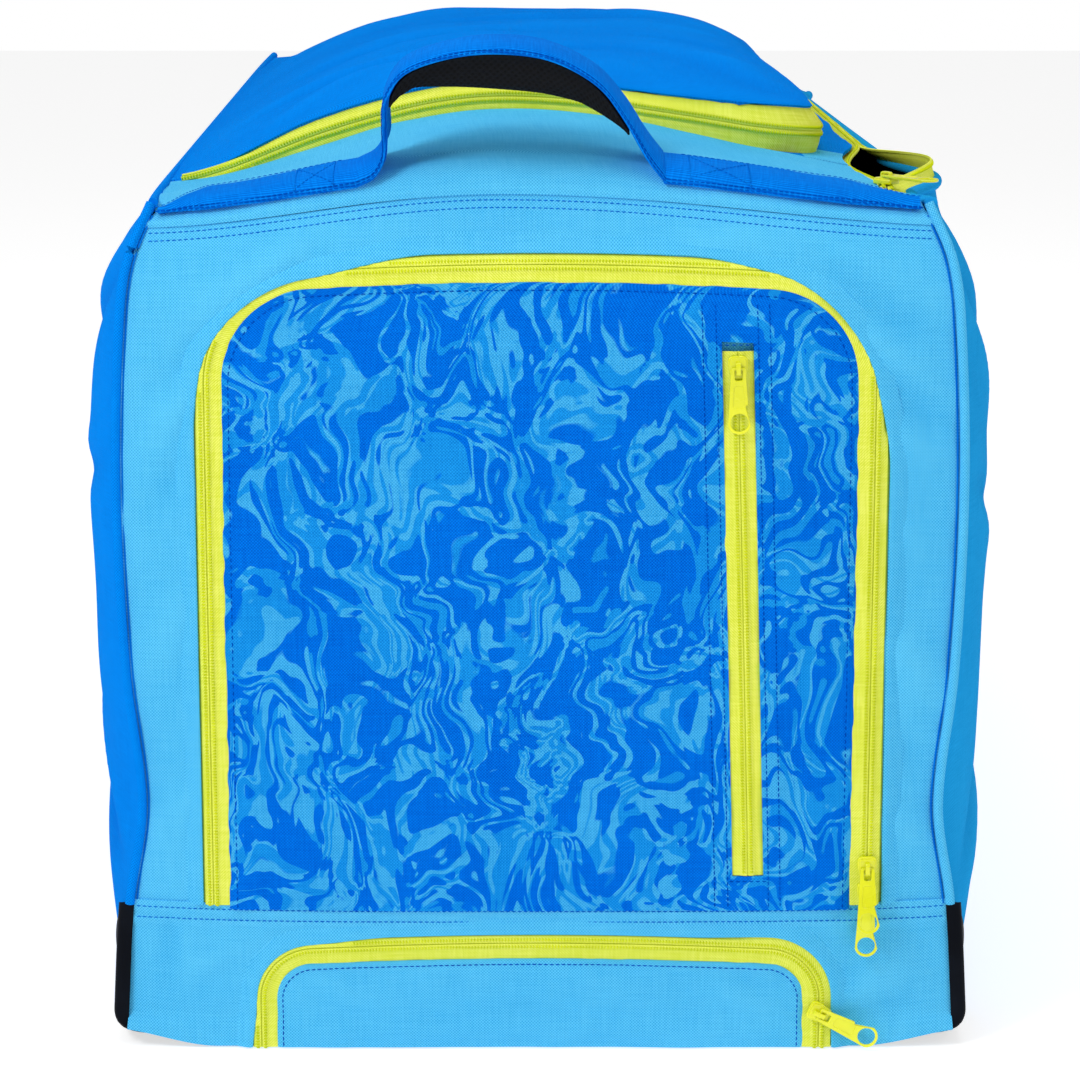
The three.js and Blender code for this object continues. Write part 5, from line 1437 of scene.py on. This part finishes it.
def strap_points(path, across):
    """Points of the webbing: rows along its path, columns across it from front to back."""
    x, lift = path[:, :1], path[:, 1:]
    wide = 1 - 0.85 * ease(-x, 178, 204) - 0.6 * ease(x, 160, 203)  # both ends are cut on the slant
    front, rear, middle = (
        over_top(-1, YOKE_END_Y, x, STRAP["front"] + (STRAP["back"] - STRAP["front"]) * wide * part)[:, 0]
        for part in (0.0, 1.0, 0.5)
    )
    share = across[None, :, None]
    bow = (middle - (front + rear) / 2)[:, None]
    seat = mix(front[:, None], rear[:, None], share) + bow * 4 * share * (1 - share)
    level = STRAP["level"] * ease(lift, 10, 60)  # the top of the arch lies flatter than the shoulder under it
    seat[..., 2] = mix(seat[..., 2], seat[..., 2].mean(axis=1, keepdims=True), level)
    return seat + stack(0 * lift, -STRAP["lean"] * lift, lift)


across = np.linspace(0, 1, 26)
points = strap_points(strap_path, across)
# Outwards is up on the yoke and away from the arch, so the sheet is turned by its own mean direction
edge_roll = -0.9 * np.exp(-np.minimum(across, 1 - across) * STRAP["wide"] / 1.6)
uneven = 0.35 * soft_noise(points[..., 0], points[..., 1], 22.0, 101)
relief = STRAP["thick"] + STRAP["clear"] + edge_roll[None, :] + uneven
sheet_piece("haul_webbing", points, UP, [webbing_blue], ["haul_strap"], thick=STRAP["thick"],
            relief=relief)

# %% [markdown]
# The grip is foam in air mesh. It is soft and stuffed, so it gets a short cloth simulation: a crescent
# under the arch, a little thinner than it should be, is blown up from inside while its rim is held. The
# simulation is coarse and ten times life size, which keeps its forces in the range the solver expects.
# Only the movement is taken from it, and put on a fine grid that has the small holes of the mesh pressed
# in as dimples.

# %% Air mesh
HOLES_PER_METRE = 260.0
dots, given, result = shader_group(
    "rows of holes", [("Cloth", VECTOR, None), ("Holes per metre", FLOAT, HOLES_PER_METRE)],
    [("Open", FLOAT)])
scaled = add(dots, "ShaderNodeVectorMath", {0: given.outputs["Cloth"], 3: given.outputs["Holes per metre"]},
             operation="SCALE")
nearest = []
for shift in (0.0, 0.5):
    moved = add(dots, "ShaderNodeVectorMath", {0: scaled.outputs[0], 1: (shift, shift, 0.0)})
    cell = add(dots, "ShaderNodeVectorMath", {0: moved.outputs[0]}, operation="FRACTION")
    away = add(dots, "ShaderNodeVectorMath", {0: cell.outputs[0], 1: (0.5, 0.5, 0.0)}, operation="DISTANCE")
    nearest.append(away.outputs["Value"])
closest = maths(dots, "MINIMUM", *nearest)
inside = add(dots, "ShaderNodeMapRange", {0: closest, 1: 0.3, 2: 0.14}).outputs[0]
dots.links.new(inside, result.inputs["Open"])

air_mesh, tree, shader = new_finish("black air mesh", 0.75, Specular_IOR_Level=0.2)
cloth, woven, uneven = threads_of(tree, 1500.0)
holes = add(tree, "ShaderNodeGroup", node_tree=dots)
tree.links.new(cloth, holes.inputs["Cloth"])
# Near black in the holes: painted shade inside the open mesh
tree.links.new(two_tone(tree, holes.outputs["Open"], srgb(12, 13, 18), srgb(2, 2, 4)),
               shader.inputs["Base Color"])
bump(tree, shader, maths(tree, "SUBTRACT", woven.outputs["Height"], holes.outputs["Open"]), 0.6, 0.0006)
print("air mesh", air_mesh.name)

# %% Shape of the grip, and its simulation
# Its thickness, its rim, the part of the arch it lies under, and the part of the webbing's width
PAD = {"thick": 21.0, "edge": 1.2, "start": 0.21, "end": 0.87, "near": 0.07, "far": 0.93}
PAD_SWELL = 2.2  # no point moves further than this in the simulation
PAD_COARSE, PAD_FINE = (64, 26), (240, 90)
SIM_SCALE = 0.01  # millimetres to the units of the simulation


def pad_grids(count_u, count_v):
    """Upper and lower face of the grip before it is blown up."""
    u, v = np.linspace(0, 1, count_u), np.linspace(0, 1, count_v)
    archway = spaced(arch, 400)[int(400 * PAD["start"]):int(400 * PAD["end"])]
    base = strap_points(spaced(archway, count_u), mix(PAD["near"], PAD["far"], v))
    out, _ = grid_normals(base, UP)
    depth = PAD["edge"] + PAD["thick"] * np.sin(math.pi * u)[:, None] ** 0.8 * (1 - np.abs(2 * v - 1) ** 6)
    upper = base - 0.4 * out
    return upper, upper - out * depth[..., None]


def closed_grids(upper, lower):
    """Points and faces of two grids joined round their rim."""
    rows, cols = upper.shape[:2]
    count = rows * cols
    index = np.arange(count).reshape(rows, cols)
    quads = np.stack([index[:-1, :-1], index[:-1, 1:], index[1:, 1:], index[1:, :-1]], axis=-1).reshape(-1, 4)
    _, turned = grid_normals(upper, UP)
    ring = np.concatenate([index[0, :-1], index[:-1, -1], index[-1, :0:-1], index[:0:-1, 0]])
    after = np.roll(ring, -1)
    rim = np.stack([after, ring, ring + count, after + count], axis=-1)
    faces = np.concatenate([quads, quads[:, ::-1] + count, rim])
    both = np.concatenate([upper.reshape(-1, 3), lower.reshape(-1, 3)])
    return both, faces[:, ::-1] if turned else faces, ring


def blown(points, faces, held, frames=20):
    """How far each point moves when the closed cloth is blown up with its rim held."""
    mesh = bpy.data.meshes.new("blown")
    mesh.from_pydata((points * SIM_SCALE).tolist(), [], faces.tolist())
    piece = bpy.data.objects.new("blown", mesh)
    bpy.context.scene.collection.objects.link(piece)
    piece.vertex_groups.new(name="held").add([int(k) for k in held], 1.0, "REPLACE")
    cloth = piece.modifiers.new("cloth", "CLOTH")
    cloth.settings.vertex_group_mass = "held"
    cloth.settings.use_pressure = True
    cloth.settings.uniform_pressure_force = 4.0
    cloth.settings.effector_weights.gravity = 0.0
    cloth.point_cache.frame_start, cloth.point_cache.frame_end = 1, frames
    for frame_number in range(1, frames + 1):
        bpy.context.scene.frame_set(frame_number)
    after = bpy.data.meshes.new_from_object(piece.evaluated_get(bpy.context.evaluated_depsgraph_get()))
    placed = np.empty(len(points) * 3, np.float32)
    after.vertices.foreach_get("co", placed)
    bpy.context.scene.frame_set(1)
    bpy.data.objects.remove(piece)
    return placed.reshape(-1, 3) / SIM_SCALE - points


coarse_points, coarse_faces, ring = closed_grids(*pad_grids(*PAD_COARSE))
rim_ids = np.concatenate([ring, ring + PAD_COARSE[0] * PAD_COARSE[1]])
moved = blown(coarse_points, coarse_faces, rim_ids)
length = np.linalg.norm(moved, axis=1, keepdims=True)
moved = moved * np.minimum(1, PAD_SWELL / np.maximum(length, 1e-6))
print("grip moved up to", length.max().round(2), "mm, kept to", PAD_SWELL)


def finer(values, counts):
    """A coarse grid of vectors read at a finer spacing."""
    rows, cols = values.shape[:2]
    at_row, at_col = np.linspace(0, rows - 1, counts[0]), np.linspace(0, cols - 1, counts[1])
    i, j = np.minimum(at_row.astype(int), rows - 2), np.minimum(at_col.astype(int), cols - 2)
    s, t = (at_row - i)[:, None, None], (at_col - j)[None, :, None]
    low = mix(values[i][:, j], values[i + 1][:, j], s)
    return mix(low, mix(values[i][:, j + 1], values[i + 1][:, j + 1], s), t)


# %% Padded grip
swollen = moved.reshape(2, *PAD_COARSE, 3)
swollen[0] *= 0.15  # the webbing over it holds the upper face
faces_of_pad = [face + finer(part, PAD_FINE) for face, part in zip(pad_grids(*PAD_FINE), swollen)]
pad_uv = cloth_uv(faces_of_pad[1])
holes = pad_uv * HOLES_PER_METRE
dips = [np.hypot(*np.moveaxis((holes + shift) % 1 - 0.5, -1, 0)) for shift in (0.0, 0.5)]
pressed = -0.5 * np.exp(-((np.minimum(*dips) / 0.2) ** 2))
lower_out, _ = grid_normals(faces_of_pad[1], (0, 0, -1))
lower = faces_of_pad[1] + lower_out * pressed[..., None]
points, faces, _ = closed_grids(faces_of_pad[0], lower)
grip = new_piece("grip_mesh", to_row(points), faces, [air_mesh], np.concatenate([pad_uv.reshape(-1, 2)] * 2))
settle(grip, ["grip_pad"])
print("grip", len(grip.data.polygons), "faces")

# %% [markdown]
# ## Hard pieces
# The base board, the rails, the wheel housings and the axles keep their solid shape from the CAD and get a
# better finish. The corner guards wrap round the corner with a sloping top, and the wheels have treads.
# The CAD leaves these plain, so they get new pieces.

# %% Finish of the hard solids
HARD_SOLIDS = [
    (black_plastic, ("base_board", "rail_left", "rail_right", "housing_left", "housing_right")),
    (axle_steel, ("axle_left", "axle_right")),
]
for finish, names in HARD_SOLIDS:
    for name in names:
        for place in frame["nodes"][name].material_slots:
            place.material = finish
    print(finish.name, "on", names)

# %% Corner guards
GUARD_PLAN = np.array([  # out from the corner seam, back from the front of the bag
    (-1.6, -2.0), (0.4, -2.5), (3.0, -2.6), (5.2, -2.1), (6.6, -0.8), (7.2, 1.4), (7.3, 5.0), (7.3, 9.0),
    *((7.2, back) for back in range(12, 58, 3)),
])
# Its foot is rounded and tucked in, its top slopes down over a run back from the front, and it hugs the side
GUARD = {"thick": 2.4, "clear": 1.4, "round": 10.0, "tuck": 5.0, "slope": 52.0, "run": (-3.0, 62.0),
         "hugs": 4.0}
rise = np.linspace(0, 1, 60)
for side, name in ((-1, "left"), (1, "right")):
    columns = []
    for out, back in GUARD_PLAN:
        head = LOWER_SEAM_Z - GAP - GUARD["slope"] * ease(back, *GUARD["run"])
        height = mix(BASE_TOP + GAP, head, rise)
        y = back - seam_y(height)
        low = 1 - np.minimum((height - height[0]) / GUARD["round"], 1)  # rounded at the foot
        x = seam_half(height) + out - GUARD["tuck"] * (1 - np.sqrt(1 - low ** 2)) * ease(out, 0, 6)
        if back > GUARD["hugs"]:
            x = np.maximum(x, side_x(y, height) + GUARD["clear"])
        columns.append(stack(side * x, y, height))
    sheet_piece(f"guard_{name}_moulded", np.stack(columns, axis=1), (side, -0.6, 0), [black_plastic],
                [f"guard_{name}"], thick=GUARD["thick"])

# %% Wheels: a moulded hub with a grooved rubber tread
WHEEL_TURN = 96


def turned(name, profile, side, materials, slot, nodes, body):
    """A closed profile of radius and distance along the axle, turned about a wheel's axle."""
    angle = np.linspace(0, 2 * math.pi, WHEEL_TURN, endpoint=False)
    radius, along = np.array(profile, float).T
    points = stack(side * WHEEL["x"] + along[None, :], WHEEL["y"] + np.cos(angle)[:, None] * radius,
                   WHEEL["radius"] + np.sin(angle)[:, None] * radius)
    index = np.arange(points.shape[0] * points.shape[1]).reshape(points.shape[:2])
    over, beside = np.roll(index, -1, axis=0), np.roll(index, -1, axis=1)
    faces = np.stack([index, beside, np.roll(over, -1, axis=1), over], axis=-1).reshape(-1, 4)
    piece = new_piece(name, to_row(points.reshape(-1, 3)), faces, materials)
    print(name, len(faces), "faces")
    return settle(piece, nodes, body)


tread = [(33, -17.2), (36.3, -17.6), (38.6, -15.6), (39.7, -12.4)]  # radius, distance along the axle
for groove in (-8, 0, 8):
    tread += [(40, groove - 1.7), (38.4, groove - 1.0), (38.4, groove + 1.0), (40, groove + 1.7)]
tread += [(39.7, 12.4), (38.6, 15.6), (36.3, 17.6), (33, 17.2)]
half_hub = [(4.5, 23.0), (7.6, 23.0), (8.8, 22.2), (8.9, 14.2), (10.4, 12.6), (26.4, 12.6), (28.2, 13.6),
            (29.6, 16.8), (31.2, 17.6), (32.8, 16.8)]
hub = [(r, -x) for r, x in half_hub] + half_hub[::-1]
for side, name in ((-1, "wheel_left"), (1, "wheel_right")):
    turned(name + "_tread", tread, side, [wheel_rubber], "wheel_rubber", [name], name)
    turned(name + "_hub", hub, side, [wheel_plastic], "moulded_black", [], name)

# %% [markdown]
# ## Zip sliders and pull tabs
# A slider is a flat waisted body with a bridge on top, and its tab hangs from the bridge by a small
# window. Each is a few flat shapes with rounded edges. A filled 2-D curve with a bevel makes such a plate
# cleanly, holes and all, where a Boolean on thin plates would leave scars.

# %% Plates from outlines
def circle(centre, radius, turn=1, count=28):
    a = turn * np.linspace(0, 2 * math.pi, count, endpoint=False)
    return stack(centre[0] + radius * np.cos(a), centre[1] + radius * np.sin(a))


def rounded(corners, radius, count=5):
    """A closed outline with its corners rounded."""
    corners = np.array(corners, float)
    outline = []
    for before, corner, after in zip(np.roll(corners, 1, axis=0), corners, np.roll(corners, -1, axis=0)):
        reach = min(radius, *(0.45 * np.linalg.norm(end - corner) for end in (before, after)))
        start, end = (corner + reach * unit(other - corner) for other in (before, after))
        for t in np.linspace(0, 1, count):
            outline.append(mix(mix(start, corner, t), mix(corner, end, t), t))
    return np.array(outline)


def plate(loops, low, high, edge):
    """Points and faces of a flat plate between two heights: one loop for its outline, the rest for holes."""
    curve = bpy.data.curves.new("plate", "CURVE")
    curve.dimensions, curve.fill_mode = "2D", "BOTH"
    curve.bevel_depth, curve.bevel_resolution = edge, 2
    curve.extrude, curve.offset = (high - low) / 2 - edge, -edge
    for loop in loops:
        spline = curve.splines.new("POLY")
        spline.points.add(len(loop) - 1)
        spline.points.foreach_set("co", np.column_stack([loop, 0 * loop]).astype(np.float32).ravel())
        spline.use_cyclic_u = True
    holder = bpy.data.objects.new("plate", curve)
    bpy.context.scene.collection.objects.link(holder)
    bpy.context.view_layer.update()
    mesh = bpy.data.meshes.new_from_object(holder.evaluated_get(bpy.context.evaluated_depsgraph_get()))
    points = np.array([v.co for v in mesh.vertices]) + [0, 0, (low + high) / 2]
    faces = [list(face.vertices) for face in mesh.polygons]
    bpy.data.objects.remove(holder)
    bpy.data.meshes.remove(mesh)
    return points, faces


def together(parts):
    points, faces = [], []
    for part_points, part_faces in parts:
        start = sum(map(len, points))
        faces += [[start + k for k in face] for face in part_faces]
        points.append(part_points)
    return np.concatenate(points), faces


# %% Slider and tab in their own frame: along the zip is Y, outwards is Z
SLIDER = {"height": 3.4, "axis": 4.4}
TAB = {"neck": 29.0, "ring": 6.4, "hole": 4.9, "half": 4.0, "thick": 1.4}


def slider_shape():
    body = rounded([(-3.7, -6.5), (3.7, -6.5), (5.5, 1.5), (5.3, 5.2), (3.4, 6.5), (-3.4, 6.5), (-5.3, 5.2),
                    (-5.5, 1.5)], 1.8)
    lip = rounded([(-2.9, -5.6), (2.9, -5.6), (4.6, 1.6), (4.2, 5.4), (-4.2, 5.4), (-4.6, 1.6)], 1.5)
    bridge = rounded([(-3.6, 2.4), (3.6, 2.4), (3.6, 6.6), (-3.6, 6.6)], 1.7)
    window = rounded([(-2.4, 2.9), (-2.4, 5.4), (2.4, 5.4), (2.4, 2.9)], 0.7)
    points, faces = plate([bridge, window], -1.3, 1.3, 0.4)
    standing = points[:, [2, 0, 1]]
    return together([plate([body], 0.0, 2.6, 0.6), plate([lip], 2.0, SLIDER["height"], 0.5),
                     (standing, faces)])


def tab_shape():
    neck, ring, half = TAB["neck"], TAB["ring"], TAB["half"]
    a = np.linspace(math.pi + 0.25, 2 * math.pi - 0.25, 22)
    foot = stack(ring * np.cos(a), ring * np.sin(a) - neck)
    head = rounded([(-half, -4.0), (-half - 0.9, -20.0), (half + 0.9, -20.0), (half, -4.0), (half, 0.6),
                    (-half, 0.6)], 1.4)[10:]
    outline = np.concatenate([foot, head])
    eye = rounded([(-2.0, -0.6), (2.0, -0.6), (2.0, -6.2), (-2.0, -6.2)], 0.8)
    panel = rounded([(-2.5, -9.2), (2.5, -9.2), (3.3, -21.0), (-3.3, -21.0)], 1.4)
    sunk = rounded([(-3.0, -8.7), (-3.8, -21.5), (3.8, -21.5), (3.0, -8.7)], 1.4)
    thick = TAB["thick"] / 2
    rim = plate([outline, eye, panel, circle((0, -neck), TAB["hole"], -1)], -thick, thick, 0.3)
    return together([rim, plate([sunk], -0.35, 0.35, 0.1)])


slider_cast, tab_cast = slider_shape(), tab_shape()
for label, (points, faces) in (("slider", slider_cast), ("tab", tab_cast)):
    print(label, points.min(axis=0).round(2), points.max(axis=0).round(2), len(faces), "faces")

# %% Sliders and tabs in their places
leg_x, arch_x = POCKET["half"] + GAP + 8.25, ARCH["half"] + GAP + 8.5
slider_z = UPRIGHT["top_z"] - UPRIGHT["drop"]
slider_x = upright_x(slider_z)
main_y = -402.0
main_x = top_half(main_y) - TEETH_INSET


def at_panel(x, z, lay):
    return np.array([x, -(panel_y(x, z) + lay), z], float)


ZIP_PULLS = [  # name, place, direction of the zip, outward direction, how far the tab stands off
    ("upright", at_panel(slider_x, slider_z, GAP + pillow(POCKET, slider_x, slider_z) + TAPE + GAP + 0.3),
     (UPRIGHT["top_x"] - UPRIGHT["foot_x"], 0, UPRIGHT["top_z"] - UPRIGHT["foot_z"]), FRONT, 0.0),
    ("pocket_upper", at_panel(leg_x, 106.5, 2.5), UP, FRONT, 21.0),
    ("pocket_lower", at_panel(leg_x, 91.6, 2.5), UP, FRONT, 0.0),
    ("arch", at_panel(arch_x, 22.0, 3.0), (-0.9, 0, 0.44), FRONT, 0.0),
    ("main", np.array([main_x, main_y, top_z(main_x, main_y) + 1.3], float), (-0.7, 0.75, 0), UP, 0.0),
]
for name, place, along, outward, stand_off in ZIP_PULLS:
    y = unit(np.asarray(along, float))
    z = unit(np.asarray(outward, float) - y * (y @ np.asarray(outward, float)))
    basis = np.stack([np.cross(y, z), y, z])
    lean = np.array(Matrix.Rotation(math.radians(-stand_off), 3, "X"))
    hung = tab_cast[0] @ lean.T + [0, 0, SLIDER["axis"]]
    slider = new_piece(f"slider_{name}_cast", to_row(slider_cast[0] @ basis + place), slider_cast[1],
                       [pull_paint])
    settle(slider, [f"slider_{name}"])
    tab = new_piece(f"pull_{name}_cast", to_row(hung @ basis + place), tab_cast[1], [pull_paint])
    settle(tab, [f"pull_{name}"], f"pull_{name}")
print("zip pulls", [row[0] for row in ZIP_PULLS])

# %% [markdown]
# ## Stitches
# A stitch row is drawn where the sewing machine would go, as a line in front of the bag. It is then
# pressed onto the finished cloth with ray casts, so every stitch lies on the waves and puckers that the
# cloth already has.

# %% Rows pressed onto the cloth
def pressed_on(name, points, outward, lift=0.1):
    """A run on a finished piece: each point is thrown at it from outside, and misses are dropped."""
    bpy.context.view_layer.update()
    piece = bpy.data.objects[name]
    out = Vector(unit(np.asarray(outward, float)))
    found, outs = [], []
    for point in to_row(points):
        hit, place, normal, _ = piece.ray_cast(Vector(point) + 0.08 * out, -out)
        if hit:
            normal = normal if normal.dot(out) > 0 else -normal
            found.append(np.array(place) / MM - SHIFT + lift * np.array(normal))
            outs.append(np.array(normal))
    return np.array(found), np.array(outs)


def front_row(name, x, z):
    """A row sewn from the front, drawn ahead of the bag."""
    return pressed_on(name, stack(x, AHEAD_Y, z), FRONT)


AHEAD_Y = -500.0
YOKE_DROPS, LOWER_DROPS = (3.0, 7.0), (2.2, 8.4)  # of the two rows under each seam
FLAP_IN = 3.4
across = np.linspace(-208, 208, 240)
yoke_rows = [front_row("end_panel_cloth", across, yoke_seam_z(across) - drop) for drop in YOKE_DROPS]
across = np.linspace(-222, 222, 240)
lower_rows = [front_row("lower_panel_cloth", across, LOWER_SEAM_Z - drop) for drop in LOWER_DROPS]
x, z, out, _ = arch_path(dict(ARCH, foot=HEM["low"] + 2), 30, 30, 90)
flap_row = front_row("arch_flap_cloth", x - FLAP_IN * out[:, 0], z - FLAP_IN * out[:, 1])
along_runs("seam_stitches", yoke_rows + lower_rows, STITCH_PITCH, STITCH_SIZE, blue_thread)
along_runs("flap_stitches", [flap_row], STITCH_PITCH, STITCH_SIZE, navy_thread)

# %% Rows on the printed pocket
BESIDE_SLOT, EDGE_PITCH = (-18.4, -11.2, 11.2, 17.6), 3.9
x, z, out, _ = arch_path(POCKET, 100, 40, 110)
edge_row = front_row("pocket_print_cloth", x - STITCH_IN * out[:, 0], z - STITCH_IN * out[:, 1])
height = np.linspace(LOWER_SEAM_Z + 2, 418, 150)
slot_rows = [front_row("pocket_print_cloth", upright_x(height) + offset, height) for offset in BESIDE_SLOT]
across = np.linspace(-9, 9, 24)
slot_rows += [front_row("pocket_print_cloth", upright_x(height) + across, height)
              for height in (UPRIGHT["foot_z"] - 3, UPRIGHT["top_z"] + 3)]
along_runs("pocket_edge_stitches", [edge_row], EDGE_PITCH, STITCH_SIZE, navy_thread)
along_runs("slot_stitches", slot_rows, STITCH_PITCH, STITCH_SIZE, navy_thread)

# %% Rows on the webbing
WEB_STEPS, WEB_LIFT = 50, 0.25
NAVY_PITCH, NAVY_SIZE = 3.0, (2.9, 0.7, 0.6)
face = strap_points(strap_path, np.linspace(0, 1, WEB_STEPS + 1))
face_out, _ = grid_normals(face, UP)
face = face + face_out * (STRAP["thick"] + STRAP["clear"])


def webbing_row(rows, columns):
    """A run over the webbing's face, by rows along it and columns across it."""
    return face[rows, columns] + WEB_LIFT * face_out[rows, columns], face_out[rows, columns]


def web_column(share):
    return np.round(share * WEB_STEPS).astype(int)


navy_rows = [webbing_row(slice(None), web_column(share)) for share in np.array([0.04, 0.1])]
along_runs("webbing_navy_stitches", navy_rows, NAVY_PITCH, NAVY_SIZE, navy_thread)
SEWN_DOWN = (slice(0, 48), slice(142, None))
BOXES = ((36, 47), (143, 156))  # rows of the two crossed boxes at the feet of the arch
back_rows = [webbing_row(part, web_column(np.float64(0.94))) for part in SEWN_DOWN]
for start, end in BOXES:
    rows = np.arange(start, end)
    for first, last in ((0.16, 0.88), (0.88, 0.16)):
        back_rows.append(webbing_row(rows, web_column(mix(first, last, np.linspace(0, 1, len(rows))))))
    back_rows += [webbing_row(edge, np.arange(8, 45)) for edge in (start, end - 1)]
along_runs("webbing_stitches", back_rows, STITCH_PITCH, STITCH_SIZE, blue_thread)

# %% [markdown]
# ## Camera, light and floor
# The camera stands where the photographer stood: ahead of the handle end, raised, and looking down a
# little. The photograph has a white ground, so the backdrop and the floor are white. The floor gives some
# light of its own, like a light table, because a plain white one would turn blue beside the bag.

# %% Camera
CAMERA = {"place": [0.0, -2375.0, 715.0], "down": 12.6, "lens": 120.3, "sensor": 36.0}
bpy.context.scene.view_settings.view_transform = "Standard"
camera_data = bpy.data.cameras.new("camera")
camera_data.lens, camera_data.sensor_width = CAMERA["lens"], CAMERA["sensor"]
camera = bpy.data.objects.new("camera", camera_data)
camera.location = to_row(CAMERA["place"])
camera.rotation_euler = (math.radians(90 - CAMERA["down"]), 0.0, 0.0)
bpy.context.scene.collection.objects.link(camera)
bpy.context.scene.camera = camera
print("camera at", camera.location)

# %% Backdrop and lamps
WHITE = (1, 1, 1, 1)
SKY_LIGHT, SKY_SEEN = 0.38, 1.0  # the backdrop lights the bag less than it shows
LAMPS = [  # name, place, size, power
    ("key", (-1.7, -1.9, 2.4), 0.9, 44.0), ("fill", (1.9, -1.5, 1.5), 1.6, 10.0),
    ("top", (0.1, -0.7, 2.7), 1.2, 15.0), ("back", (0.2, 2.0, 2.2), 1.8, 5.0),
]
LAMPS_FACE = Vector((0, 0, 0.3))
world = bpy.data.worlds.new("studio")
bpy.context.scene.world = world
world.use_nodes = True
backdrop = world.node_tree.nodes["Background"]
backdrop.inputs["Color"].default_value = WHITE
seen = add(world.node_tree, "ShaderNodeLightPath").outputs["Is Camera Ray"]
strength = add(world.node_tree, "ShaderNodeMapRange", {0: seen, 3: SKY_LIGHT, 4: SKY_SEEN})
world.node_tree.links.new(strength.outputs[0], backdrop.inputs["Strength"])
for name, place, size, power in LAMPS:
    lamp_data = bpy.data.lights.new(name, "AREA")
    lamp_data.energy, lamp_data.size = power, size
    lamp = bpy.data.objects.new(name, lamp_data)
    lamp.location = place
    lamp.rotation_euler = (LAMPS_FACE - Vector(place)).to_track_quat("-Z", "Y").to_euler()
    bpy.context.scene.collection.objects.link(lamp)
print("lamps", [row[0] for row in LAMPS])

# %% Floor
FLOOR_HALF = 6.0
floor_finish, tree, shader = new_finish("pale floor", 0.6, Emission_Color=WHITE, Emission_Strength=0.66,
                                        Base_Color=(0.62, 0.62, 0.62, 1))
corners = [(x * FLOOR_HALF, y * FLOOR_HALF, 0) for x, y in ((-1, -1), (1, -1), (1, 1), (-1, 1))]
floor = new_piece("floor", corners, [(0, 1, 2, 3)], [floor_finish])
print("floor", 2 * FLOOR_HALF, "m wide")
